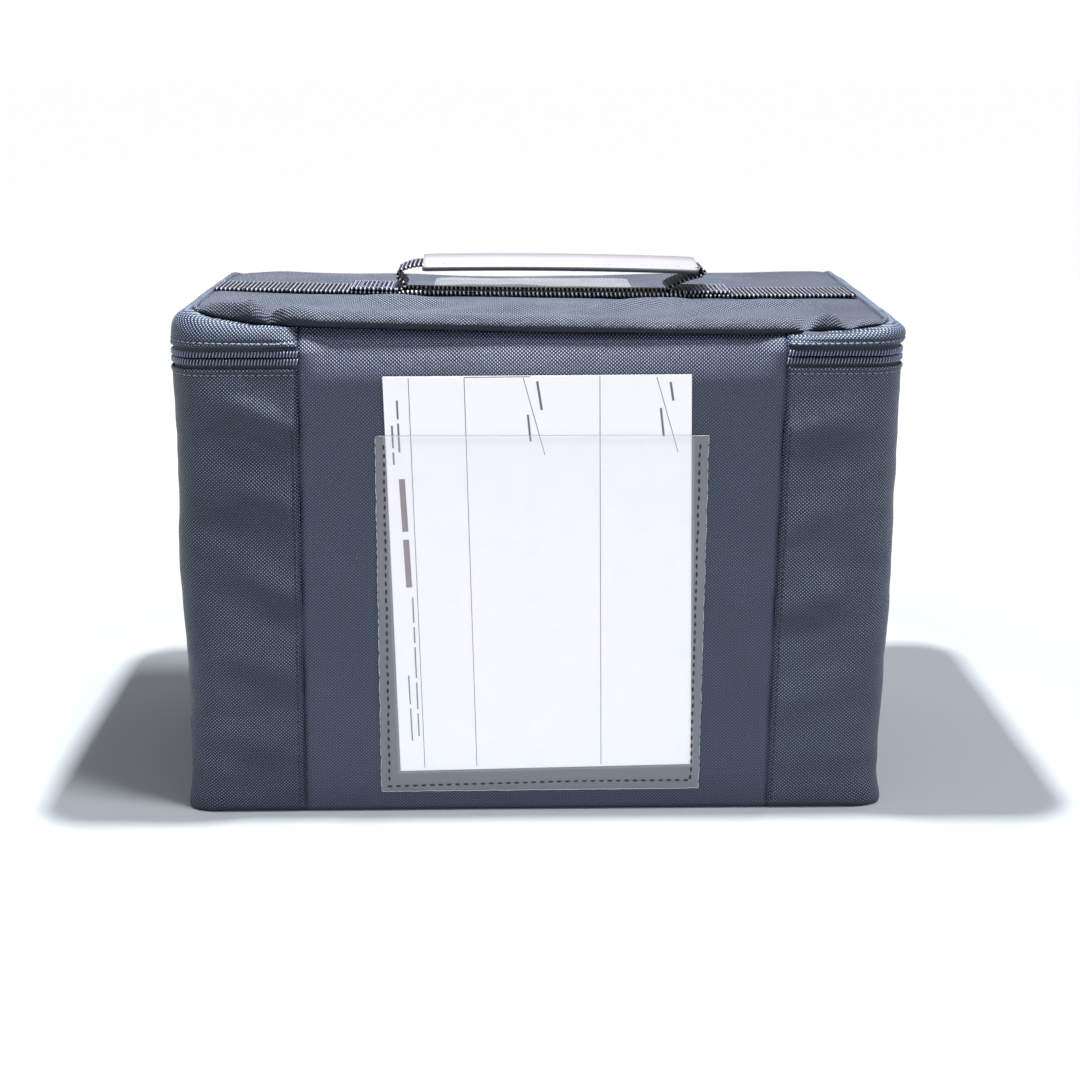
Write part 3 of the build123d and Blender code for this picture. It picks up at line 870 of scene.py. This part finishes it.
def webbing_material(name, pale, face_gain, bead_width):
    """Polypropylene tape: ribs of multifilament yarn, painted pale on their crests and near black in their
    gaps as painted highlight and shade, with edge beads painted paler still as painted highlight.
    """
    material, tree, shader = shaded(name, Roughness=0.6, Specular_IOR_Level=0.08)
    cloth = add(tree, "UVMap", uv_map="cloth").outputs[0]
    axes = add(tree, "SeparateXYZ", [cloth])
    turns = add(tree, "Math", [axes, math.pi / (rib_pitch * mm)], operation="MULTIPLY")
    wave = add(tree, "Math", [turns], operation="SINE")
    rib = add(tree, "Math", [wave, wave], operation="MULTIPLY")
    yarn = add(tree, "TexNoise", {"Vector": cloth, "Scale": 1500.0, "Detail": 2.0})
    both = add(tree, "Math", [rib, yarn], operation="MULTIPLY")
    bead = add(tree, "MapRange", [axes.outputs[1], bead_width * mm, (bead_width - 0.8) * mm], clamp=True)
    face = add(tree, "MapRange", {0: both, 1: 0.35, 2: 0.5, 4: face_gain}, clamp=True)
    # The edge beads are painted up to 2.6 times as pale as the ribs, as painted highlight.
    bead_highlight = add(tree, "MapRange", {0: both, 1: 0.34, 2: 0.48, 4: 2.6}, clamp=True)
    lit = add(tree, "Mix", {0: bead, 2: face, 3: bead_highlight})
    tint = add(tree, "Mix", {0: lit, 6: linear("#07080c"), 7: linear(pale)},
               data_type="RGBA", clamp_factor=False)
    tree.links.new(tint.outputs[2], shader.inputs["Base Color"])
    bump = add(tree, "Bump", {"Height": yarn, "Strength": 0.5, "Distance": 0.12 * mm})
    tree.links.new(bump.outputs[0], shader.inputs["Normal"])
    return material


# The navy webbing: its rib crests and edge beads are painted pale as painted highlight.
web_cloth = webbing_material("woven_polypropylene_navy", "#646572", 1.6, 1.8)
# A copy for the layers under the grip, in the grip's shadow: its ribs are hardly painted, and its wide edge
# beads are painted pale as painted highlight so that they show there.
painted_bead_web = webbing_material("woven_polypropylene_painted_bead_highlight", "#9a9ca4", 0.12, 3.6)


def smooth_route(points, step):
    """An even run of points along a smooth curve through the given points, in the XZ plane."""
    given = np.array(points, float)
    ends = np.vstack([2 * given[0] - given[1], given, 2 * given[-1] - given[-2]])
    pieces = []
    for a, b, c, d in zip(ends[:-3], ends[1:-2], ends[2:-1], ends[3:]):
        t = np.linspace(0, 1, 24, endpoint=False)[:, None]
        pieces.append(0.5 * (2 * b + (c - a) * t + (2 * a - 5 * b + 4 * c - d) * t**2
                             + (3 * b - a - 3 * c + d) * t**3))
    dense = np.vstack([*pieces, given[-1:]])
    length = run_length(dense)
    even = np.linspace(0, length[-1], max(int(length[-1] / step), 4))
    return np.stack([np.interp(even, length, dense[:, k]) for k in (0, 1)], 1)


def webbing(name, route, start=0.0, width=web_width, middle_y=0.0, material=web_cloth):
    """Ribbed webbing along an XZ route: ribs run across it and swell at both edges as a bead."""
    heading = np.gradient(route, axis=0)
    heading /= np.linalg.norm(heading, axis=1)[:, None]
    above = np.stack([-heading[:, 1], heading[:, 0]], 1)
    length = run_length(route) + start
    rib = np.sin(math.pi * length / rib_pitch) ** 2
    half = width / 2
    flat = np.linspace(-half + 1, half - 1, 13)
    edge = np.radians((45, 0, -45))
    loop = [(y, 1.0) for y in flat]
    loop += [(half - 1 + math.cos(a), math.sin(a)) for a in edge]
    loop += [(y, -1.0) for y in flat[::-1]]
    loop += [(-half + 1 - math.cos(a), -math.sin(a)) for a in edge]
    loop += loop[:1]
    rows, cloth = [], []
    for y, side in loop:
        bead = 1.0 if abs(y) > half - 1.5 else 0.0
        thick = web_thickness / 2 * side * (0.66 + (0.34 + 0.2 * bead) * rib)
        spread = y + np.sign(y) * 0.35 * bead * (rib - 0.5)
        rows.append(np.stack([route[:, 0] + above[:, 0] * thick, spread + middle_y,
                              route[:, 1] + above[:, 1] * thick], 1))
        cloth.append(np.stack([length, np.full(len(length), half - abs(y))], 1))
    rows.append(rows[0])
    return sheet_of(name, np.stack(rows[:-1]), np.stack(cloth), material)


def cap_ends(piece):
    """Closes the open ends of a swept piece."""
    shape = bmesh.new()
    shape.from_mesh(piece.data)
    rim = [edge for edge in shape.edges if edge.is_boundary]
    bmesh.ops.holes_fill(shape, edges=rim, sides=0)
    bmesh.ops.recalc_face_normals(shape, faces=shape.faces)
    shape.to_mesh(piece.data)
    shape.free()


def strap_level(x):
    """Height of the middle of the lid webbing, which lies on the padded top."""
    return top_at(np.array(x, float), np.zeros(np.shape(x))) + 0.5 + web_thickness / 2


def laid(name, low_x, high_x, count, above, *packed, **form):
    """Webbing that lies on the lid, a height above the strap's own level, with its ends closed."""
    x = np.linspace(low_x, high_x, count)
    piece = webbing(name, np.stack([x, strap_level(x) + above], 1), **form)
    cap_ends(piece)
    fit(piece, "lid", "webbing", *packed)


strap_low, strap_high = corners("top_webbing")
laid("lid_webbing", strap_low.x - 1.5, strap_high.x + 1.5, 600, 0.0, "top_webbing")
inner_low, inner_high = corners("handle_end_left")[1].x + 2, corners("handle_end_right")[0].x - 2
laid("lid_webbing_layer", inner_low, inner_high, 260, 0.5, width=13.0, middle_y=-8.5, material=painted_bead_web)
laid("lid_webbing_fold", inner_low, inner_high, 260, web_thickness - 0.2, width=4.6, middle_y=-0.6,
     material=painted_bead_web)
for end in ("left", "right"):
    low, high = corners(f"handle_end_{end}")
    laid(f"{end}_handle_end", low.x, high.x, 48, web_thickness + 0.1, f"handle_end_{end}")

grip_low, grip_high = corners("grip_webbing")
grip_z = (grip_low.z + grip_high.z) / 2
left_foot, right_foot = corners("handle_end_left")[1].x, corners("handle_end_right")[0].x
left_level = float(strap_level([left_foot])[0]) + web_thickness + 0.1
right_level = float(strap_level([right_foot])[0]) + web_thickness + 0.1


def grip_level(x):
    """Height of the middle of the grip: it arches a little and drops towards the right."""
    across = (x - (grip_low.x + grip_high.x) / 2) / 72
    return grip_z + 0.9 - 0.9 * across - 1.0 * across**2


# Each folded leg from its foot up: steps from the foot, then the two places where it joins the grip
left_steps = ((-1, 0), (3.2, 0.5), (3.4, 3.2), (0.4, 5.8), (1.2, 9.0))
right_steps = ((1, 0), (-5.5, 0.3), (-7.6, 2.4), (1.0, 6.2), (8.4, 8.4))
legs = {
    "left": [*((left_foot + x, left_level + z) for x, z in left_steps),
             (left_foot + 5.6, grip_level(grip_low.x) - 1.0), (grip_low.x, grip_level(grip_low.x))],
    "right": [*((right_foot + x, right_level + z) for x, z in right_steps),
              (right_foot + 10.4, grip_level(grip_high.x) - 1.4),
              (grip_high.x + 0.5, grip_level(grip_high.x))],
}
middle_z = (left_level + grip_z) / 2
for end, shape in legs.items():
    route = smooth_route(shape, 0.45)
    split = int(np.argmax(route[:, 1] > middle_z))
    node = f"handle_leg_{end}"
    lower = webbing(f"{end}_leg_lower", route[: split + 1])
    upper = webbing(f"{end}_leg_upper", route[split:], start=run_length(route)[split])
    for piece in (lower, upper):
        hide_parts(node)
    foot = (0, 0, (left_level + 0.6) * mm)
    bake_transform(lower)
    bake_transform(upper)

grip_x = np.linspace(grip_low.x, grip_high.x + 0.5, 320)
grip = webbing("grip_webbing_cloth", np.stack([grip_x, grip_level(grip_x)], 1))
fit(grip, "grip", "webbing", "grip_webbing")


# Grip sleeve
# A flattened tube of clear soft PVC round the handle webbing. Its top is painted milky where it faces up,
# as painted highlight from the light above, and it is painted greyer towards its rear edge; its thick sides
# are painted dark, as painted shade and for the webbing that lies inside.
def sleeve_material():
    """Soft clear PVC, painted milky over its top where it faces up as painted highlight, dark grey at its
    sides as painted shade and for the webbing inside, and greyer towards its rear.
    """
    material, tree, shader = shaded("soft_pvc_clear_painted_highlight", Roughness=0.35, Specular_IOR_Level=0.15)
    given = add(tree, "TexCoord").outputs
    facing = add(tree, "SeparateXYZ", [given["Normal"]])
    # Painted light: where the sleeve faces up it is painted milky as painted highlight; elsewhere it takes
    # a dark grey, painted shade that also stands for the webbing inside.
    above = add(tree, "MapRange", [facing.outputs[2], 0.45, 0.75], clamp=True)
    place = given["Object"]
    depth = add(tree, "SeparateXYZ", [place])
    rear = add(tree, "MapRange", [depth.outputs[1], -2.0 * mm, 14.0 * mm], clamp=True)
    clear = add(tree, "MapRange", {0: above, 3: 0.97, 4: 0.98})
    tree.links.new(clear.outputs[0], shader.inputs["Alpha"])
    cloud = add(tree, "TexNoise", {"Vector": place, "Scale": 30.0, "Detail": 3.0})
    tint = add(tree, "Mix", {0: cloud, 6: linear("#747376"), 7: linear("#7f7e81")}, data_type="RGBA")
    duller = add(tree, "Mix", {0: rear, 6: tint.outputs[2], 7: linear("#504d54")}, data_type="RGBA")
    seen = add(tree, "Mix", {0: above, 6: linear("#565a5e"), 7: duller.outputs[2]}, data_type="RGBA")
    tree.links.new(seen.outputs[2], shader.inputs["Base Color"])
    return material


clear_pvc = sleeve_material()
sleeve_low, sleeve_high = corners("grip_sleeve")
sleeve_width, sleeve_height = sleeve_high.y - sleeve_low.y, sleeve_high.z - sleeve_low.z
sleeve_tilt = math.radians(4.5)


def sleeve_ring(x, shrink):
    """One oval section of the sleeve, tilted so that its rear edge stands higher."""
    turn = np.linspace(0, 2 * math.pi, 49)
    side = np.sign(np.cos(turn)) * np.abs(np.cos(turn)) ** 0.45
    rise = np.sign(np.sin(turn)) * np.abs(np.sin(turn)) ** 0.75
    y = side * (sleeve_width / 2 - shrink)
    z = rise * (sleeve_height / 2 - shrink * 0.8)
    return np.stack([np.full(len(turn), x), y * math.cos(sleeve_tilt) - z * math.sin(sleeve_tilt),
                     grip_level(x) + z * math.cos(sleeve_tilt) + y * math.sin(sleeve_tilt)], 1)


rim_round, sleeve_wall = 0.35, 0.8
stations = np.linspace(sleeve_low.x, sleeve_high.x, 72)
sections = [sleeve_ring(stations[0], rim_round), *(sleeve_ring(x, 0.0) for x in stations[1:-1]),
            sleeve_ring(stations[-1], rim_round)]
inside = [sleeve_ring(x, sleeve_wall) for x in stations[::-1]]
grid = np.stack(sections + inside + sections[:1])
cloth = np.stack([grid[..., 0], grid[..., 1]], -1)
sleeve = sheet_of("clear_grip_sleeve", grid, cloth, clear_pvc)
fit(sleeve, "grip", "sleeve", "grip_sleeve")


# Label card
# White coated card, slightly turned in its pocket. It carries fine ruling and short plain bars, all of
# them flat ink.
card_low = corners("label_card")[0]
# Coated paper is an even white with a faint gloss, and the ink on it is matt
card_paper = grained("coated_card_white", "#f0eff4", "#f3f2f6", 120.0, 0.01, Roughness=0.5)
card_ink = grained("printing_ink_grey", "#5a5c63", "#6d7077", 400.0, 0.01, Roughness=0.6)
bar_ink = grained("printing_ink_umber", "#6b5a60", "#7a6a70", 400.0, 0.01, Roughness=0.6)
card_corners = ((-69.5, 21.7), (75.3, 24.3), (71.6, 221.0), (-74.2, 220.4))


def between(four, across, up):
    """A place inside four corners, from shares of the width and the height."""
    a, b, c, d = (np.array(p) for p in four)
    return a * (1 - across) * (1 - up) + b * across * (1 - up) + c * across * up + d * (1 - across) * up


share_x, share_z = np.meshgrid(np.linspace(0, 1, 26), np.linspace(0, 1, 34))
flat = between(card_corners, share_x[..., None], share_z[..., None])
card_face = card_low.y + 0.04
points = np.stack([flat[..., 0], np.full(share_x.shape, card_face), flat[..., 1]], -1)
card = sheet_of("card_sheet", points, flat, card_paper, 0.24)
card.data.polygons.foreach_set("use_smooth", [False] * len(card.data.polygons))
fit(card, "card", "card", "label_card")


def strokes(name, lines, material):
    """Printed strokes on the card: each is a start, an end and a width."""
    vertices = []
    for start, end, width in lines:
        start, end = np.array(start, float), np.array(end, float)
        heading = (end - start) / np.linalg.norm(end - start)
        side = np.array([-heading[1], heading[0]]) * width / 2
        vertices += [(p[0] * mm, (card_face - 0.03) * mm, p[1] * mm)
                     for p in (start - side, end - side, end + side, start + side)]
    mesh = bpy.data.meshes.new(name)
    mesh.from_pydata(vertices, [], [range(first, first + 4) for first in range(0, len(vertices), 4)])
    mesh.materials.append(material)
    fit(placed(name, mesh), "card", "card")


ruling = (
    ((-62.1, 219.6), (-57.4, 23.4), 0.35), ((-35.8, 219.8), (-31.5, 24.0), 0.35),
    ((-35.9, 219.9), (-4.8, 220.2), 0.35), ((28.2, 220.2), (30.4, 24.6), 0.35),
    ((-8.0, 219.8), (2.3, 182.5), 0.35), ((55.1, 219.8), (65.8, 183.6), 0.35),
)
strokes("card_ruling", ruling, card_ink)


def bars(start, end, width, lengths, gap):
    """A broken run of plain bars from one place towards another."""
    start, end = np.array(start, float), np.array(end, float)
    heading = (end - start) / np.linalg.norm(end - start)
    made, run = [], 0.0
    for length in lengths:
        made.append((start + heading * run, start + heading * (run + length), width))
        run += length + gap
    return made


strokes("card_bars_bold", bars((-66.0, 171.0), (-63.4, 116.0), 2.9, (26, 24), 4.0), bar_ink)
fine_rows = (
    ((-67.6, 209.0), (-66.6, 176.0), 0.9, (9, 14), 2.0),
    ((-70.2, 197.0), (-69.6, 178.0), 0.9, (11, 6), 2.0),
    ((-61.9, 112.0), (-59.6, 26.0), 0.7, (13, 8, 16, 14, 12), 2.2),
    ((-64.6, 72.0), (-62.9, 26.0), 0.7, (15, 17), 2.2),
    ((-1.4, 218.0), (1.0, 203.0), 1.1, (14,), 2.0),
    ((-5.8, 202.0), (-4.2, 186.0), 1.0, (13,), 2.0),
    ((61.6, 217.4), (63.2, 208.0), 1.1, (9,), 2.0),
    ((57.2, 205.0), (59.0, 190.0), 1.0, (14,), 2.0),
)
fine = [bar for row in fine_rows for bar in bars(*row)]
strokes("card_bars_fine", fine, card_ink)


# Label pocket
# A sheet of clear PVC, roughly cut and sewn to the front on three sides. Its haze shows over the dark
# cloth and vanishes over the white card, and its cut edges catch the light.
def film_material(name, haze, alpha, margin=None):
    """Clear plasticised sheet with a faint milky haze that varies in patches.

    Where the piece has a "margin" attribute, its sewn edge takes that colour and hides the cloth more.
    """
    material, tree, shader = shaded(name, Roughness=0.2, Alpha=alpha)
    place = add(tree, "TexCoord").outputs["Object"]
    cloud = add(tree, "TexNoise", {"Vector": place, "Scale": 70.0, "Detail": 2.0})
    milky = add(tree, "MapRange", [cloud, 0.3, 0.7, alpha * 0.88, alpha * 1.12])
    shader.inputs["Base Color"].default_value = linear(haze)
    if margin is None:
        tree.links.new(milky.outputs[0], shader.inputs["Alpha"])
        return material
    beside = add(tree, "Attribute", attribute_name="margin").outputs["Fac"]
    tint = add(tree, "Mix", {0: beside, 6: linear(haze), 7: linear(margin)}, data_type="RGBA")
    tree.links.new(tint.outputs[2], shader.inputs["Base Color"])
    hiding = add(tree, "Mix", {0: beside, 2: milky, 3: 0.62})
    tree.links.new(hiding.outputs[0], shader.inputs["Alpha"])
    return material


pocket_film = film_material("clear_pvc_sheet", "#f4f6fa", 0.17, margin="#8b8d96")
# Cut across, the clear sheet looks whitish and catches the light in points
cut_edge = grained("clear_pvc_cut_edge", "#c4cad4", "#e8ecf2", 500.0, 0.1, Roughness=0.25, Alpha=0.75)
pocket_corners = ((-79.3, 10.8), (79.4, 11.3), (80.4, 191.6), (-78.4, 192.0))
pocket_face = card_low.y - 0.22


def pocket_place(across, up):
    """A point of the pocket sheet, from shares of its width and height, with uneven cut edges."""
    place = between(pocket_corners, across, up)
    jag = 0.55 * noise.noise(Vector((across * 3, up * 26, 1.0))) * (across < 0.001)
    jag -= 0.4 * noise.noise(Vector((across * 3, up * 22, 5.0))) * (across > 0.999)
    drop = 0.35 * noise.noise(Vector((across * 24, up, 2.0))) * (up < 0.001)
    return place[0] + jag, place[1] + drop


share_x, share_z = np.meshgrid(np.linspace(0, 1, 180), np.linspace(0, 1, 200))
flat = np.array([pocket_place(a, b) for a, b in zip(share_x.ravel(), share_z.ravel())])
flat = flat.reshape(*share_x.shape, 2)
pocket_width, pocket_height, sewn_margin = 159, 181, 6.5
side = np.minimum(share_x, 1 - share_x) * pocket_width
sewn = np.clip(np.minimum(side, share_z * pocket_height) / sewn_margin, 0, 1)
wave = 0.06 * ripple(flat[..., 0], flat[..., 1], 30, 2.2) * sewn
depth = front_y - 0.12 + (pocket_face - front_y) * sewn**0.6 + wave
depth = np.minimum(depth, front_y - 0.1)
points = np.stack([flat[..., 0], depth, flat[..., 1]], -1)
pocket = sheet_of("label_pocket_film", points, flat, pocket_film)
# How far each point of the film lies outside the card's slanting edges
left_gap = (card_corners[0][0] - 4.7 * (flat[..., 1] - 21.7) / 199) - flat[..., 0]
right_gap = flat[..., 0] - (card_corners[1][0] - 3.7 * (flat[..., 1] - 24.3) / 197)
foot_gap = card_corners[0][1] + 2.6 * (flat[..., 0] + 69.5) / 145 - flat[..., 1]
gap = np.clip((np.maximum(np.maximum(left_gap, right_gap), foot_gap) + 0.4) / 1.6, 0, 1)
beside = pocket.data.attributes.new("margin", "FLOAT", "POINT")
beside.data.foreach_set("value", gap.astype(np.float32).ravel())
fit(pocket, "bag", "clear_sheet", "label_pocket")

rim = list(points[::-2, 0]) + list(points[0, 1::2]) + list(points[1::2, -1]) + list(points[-1, ::-2])
edge_line = tube("label_pocket_edge", np.array(rim) + np.array((0, -0.05, 0)), 0.55, 0.3, cut_edge, 6)
fit(edge_line, "bag", "clear_sheet")


# Lid pocket
# A small clear PVC pocket on the padded top, behind the webbing. Its open edge lies on the webbing, and
# it buckles a little.
# The lid sheet is grey and nearly half opaque: partly its own haze and partly a painted reflection of the
# white surround.
lid_film = film_material("clear_pvc_sheet_lid", "#8b8d92", 0.45)
faint_edge = grained("clear_pvc_folded_edge", "#6b6f78", "#8b8f97", 500.0, 0.1, Roughness=0.3, Alpha=0.6)
lid_pocket_low, lid_pocket_high = corners("lid_pocket")
share_x, share_y = np.meshgrid(np.linspace(0, 1, 60), np.linspace(0, 1, 34))
film_front, film_gap = 2.0, 0.5
strap_rear, strap_rise = 17.5, 2.4 - film_gap
x = lid_pocket_low.x + share_x * (lid_pocket_high.x - lid_pocket_low.x)
y = film_front + share_y * (lid_pocket_high.y - film_front)
sewn = np.minimum(np.minimum(share_x, 1 - share_x) * 3.4, (1 - share_y) * 2.2)
lift = film_gap + (1.6 + 1.4 * share_y) * np.clip(sewn, 0, 1) ** 0.5
buckle = 1.1 * ripple(x, y * 0.6, 26, 6.6) * np.clip(sewn, 0, 1)
over_strap = np.clip((strap_rear - y) / 2, 0, 1) * strap_rise
lift = np.maximum(lift + np.maximum(buckle, -lift * 0.6), over_strap + film_gap)
points = np.stack([x, y, top_relief(x, y) + lift], -1)
film = sheet_of("lid_pocket_film", points, np.stack([x, y], -1), lid_film)
fit(film, "lid", "clear_sheet", "lid_pocket")
rim = [*points[:, 0], *points[-1, 1:], *points[-2::-1, -1], *points[0, -2:0:-1]]
film_edge = tube("lid_pocket_edge", rim, 0.6, 0.4, faint_edge, 6)
fit(film_edge, "lid", "clear_sheet")


# Sewing
# Bonded polyester thread, lockstitched about three to the centimetre along hems, seams and pockets.
# Each stitch is a short bead that sinks at both ends, and the like rows on a body are one piece.
def stitch_bead(tree, given):
    """One visible stitch: a slim bead, longer than it is thick."""
    bead = add(tree, "GeometryNodeMeshUVSphere", {"Segments": 6, "Rings": 5, "Radius": 1.0})
    half = add(tree, "Math", [given["Length"], 0.5], operation="MULTIPLY")
    thick = add(tree, "Math", [given["Thickness"], 0.5], operation="MULTIPLY")
    size = add(tree, "CombineXYZ", [half, thick, thick])
    slim = add(tree, "GeometryNodeTransform", {"Geometry": bead, "Scale": size})
    return add(tree, "GeometryNodeSetShadeSmooth", {"Geometry": slim})


stitch_tree = row_tree("stitch_row", ("Length", "Thickness"), stitch_bead)
# Bonded filament: a soft gloss on each bead; the hem thread is painted paler than the seam and pocket
# thread, as painted highlight
hem_thread_painted_pale = grained("bonded_thread_painted_highlight", "#5a6579", "#7d899f", 900.0, 0.05, Roughness=0.42)
handle_thread = grained("bonded_thread_blue", "#3b4253", "#535c70", 900.0, 0.05, Roughness=0.5)
dark_thread = grained("bonded_thread_dark", "#0d1018", "#1a1f2c", 900.0, 0.05, Roughness=0.55)

# Down the left edge of the pocket, along its foot and up its right edge, a little inside the film
sew_in = 4.1
pocket_row = []
for across, up in [(0, v) for v in np.linspace(0.97, 0, 60)] + [(v, 0) for v in np.linspace(0, 1, 60)] + [
        (1, v) for v in np.linspace(0, 0.97, 60)]:
    x, z = pocket_place(across * 0.9998 + 0.0001, up * 0.9998 + 0.0001)
    x = x + sew_in * (1 - 2 * across) if across in (0, 1) else np.clip(x, -75.1, 75.4)
    pocket_row.append((x, front_y - 0.75, max(z, 13.6 + 2.2 * min(max((x + 79) / 100, 0), 1))))


def anchor_level(x):
    """Height of a stitch through the sewn end of the handle."""
    return float(strap_level([x])[0]) + web_thickness * 1.5 + 0.1


anchor_rows = []
for end in ("left", "right"):
    low, high = corners(f"handle_end_{end}")
    for x in (low.x + 2.0, low.x + 4.6, high.x - 4.6, high.x - 2.0):
        anchor_rows.append([(x, y, anchor_level(x)) for y in np.linspace(-13, 13, 12)])
    for y in (-12.5, 12.5):
        anchor_rows.append([(x, y, anchor_level(x)) for x in np.linspace(low.x + 2, high.x - 2, 12)])
    for turn in (1, -1):
        anchor_rows.append([(x, turn * y, anchor_level(x)) for x, y in zip(
            np.linspace(low.x + 4.6, high.x - 4.6, 16), np.linspace(-12.5, 12.5, 16))])
row_y = lid_pocket_high.y - 2
lid_pocket_row = [(x, row_y, float(top_relief(np.array([x]), np.array([row_y]))[0]) + 1.0)
                  for x in np.linspace(lid_pocket_low.x + 2, lid_pocket_high.x - 2, 40)]
for name, rows, step, length, thickness, yarn, body, slot in (
        ("hem_stitches", hem_lines, 3.0, 2.4, 0.75, hem_thread_painted_pale, "bag", "polyester"),
        ("band_stitches", band_lines, 3.0, 2.4, 0.75, hem_thread_painted_pale, "lid", "polyester"),
        ("seam_stitches", seam_lines, 3.0, 2.2, 0.6, dark_thread, "bag", "polyester"),
        ("pocket_stitches", [pocket_row], 4.2, 2.6, 1.0, dark_thread, "bag", "clear_sheet"),
        ("handle_stitches", [*anchor_rows, lid_pocket_row], 2.2, 2.0, 0.6, handle_thread, "lid",
         "webbing")):
    sewing = grow(name, rows, stitch_tree, {"Step": step, "Length": length, "Thickness": thickness},
                  yarn)
    fit(sewing, body, slot)


# Studio
# The bag stands on pale seamless paper, painted darker round the bag as painted shade and almost white
# further off. A small lamp hangs over the front of the bag, a weaker and wider one stands far off to the
# right, and light off the table fills in low down.
def paper_material():
    """Matt seamless paper, painted darker and bluish under and round the bag as painted shade, and almost
    white further off.
    """
    material, tree, shader = shaded("seamless_paper_white", Roughness=0.95, Specular_IOR_Level=0.0)
    place = add(tree, "TexCoord").outputs["Object"]
    away = add(tree, "VectorMath", [place], operation="LENGTH")
    # Within about 0.34 m of the middle the paper is painted darker and bluish, as painted shade; by 0.95 m
    # it is almost white.
    clear_of_painted_shade = add(tree, "MapRange", [away.outputs[1], 0.34, 0.95], clamp=True)
    tint = add(tree, "Mix", {0: clear_of_painted_shade, 6: (0.44, 0.472, 0.505, 1), 7: (0.98, 0.98, 0.98, 1)},
               data_type="RGBA")
    tree.links.new(tint.outputs[2], shader.inputs["Base Color"])
    return material


floor_mesh = bpy.data.meshes.new("floor_paper")
reach = 30.0
floor_mesh.from_pydata([(-reach, -reach, 0), (reach, -reach, 0), (reach, reach, 0), (-reach, reach, 0)],
                       [], [(0, 1, 2, 3)])
floor_mesh.materials.append(paper_material())
placed("floor_paper", floor_mesh)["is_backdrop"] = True


def lamp(name, kind, place, turn, **settings):
    """Hangs a light, turned by degrees, and sets its size and strength."""
    light = bpy.data.lights.new(name, kind)
    for key, value in settings.items():
        setattr(light, key, value)
    hung = placed(name, light)
    hung.location, hung.rotation_euler = place, [math.radians(angle) for angle in turn]


lamp("overhead_lamp", "AREA", (-0.018, -0.06, 0.738), (0, 0, 0), shape="RECTANGLE", size=0.03,
     size_y=0.04, energy=10.5)
lamp("key_right", "SUN", (0, 0, 0), (9, 20, 0), energy=2.0, angle=math.radians(10))
lamp("table_bounce", "AREA", (0, -0.42, 0.035), (90, 0, 0), shape="RECTANGLE", size=0.5, size_y=0.05,
     energy=0.09)

world = bpy.data.worlds.new("white_surround")
bpy.context.scene.world = world
world.use_nodes = True
sky = world.node_tree
sky.nodes.clear()
facing = add(sky, "TexCoord").outputs["Generated"]
up_axis = add(sky, "SeparateXYZ", [facing]).outputs[2]
glow = add(sky, "MapRange", [up_axis, 0.05, 0.5, 1.2, 0.34], clamp=True)
lit = add(sky, "Background", {"Color": (1.0, 1.0, 1.0, 1.0), "Strength": glow})
add(sky, "OutputWorld", [lit])
bpy.context.scene.view_settings.view_transform = "Standard"

camera_data = bpy.data.cameras.new("camera")
camera_data.lens, camera_data.sensor_width = 60.29, 36.0
camera_data.clip_start, camera_data.clip_end = 0.05, 100.0
camera = placed("camera", camera_data)
camera.location = (-0.01695, -0.9352, 0.3663)
camera.rotation_euler = (math.radians(75), 0, math.radians(-1.15))
bpy.context.scene.camera = camera

low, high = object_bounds()
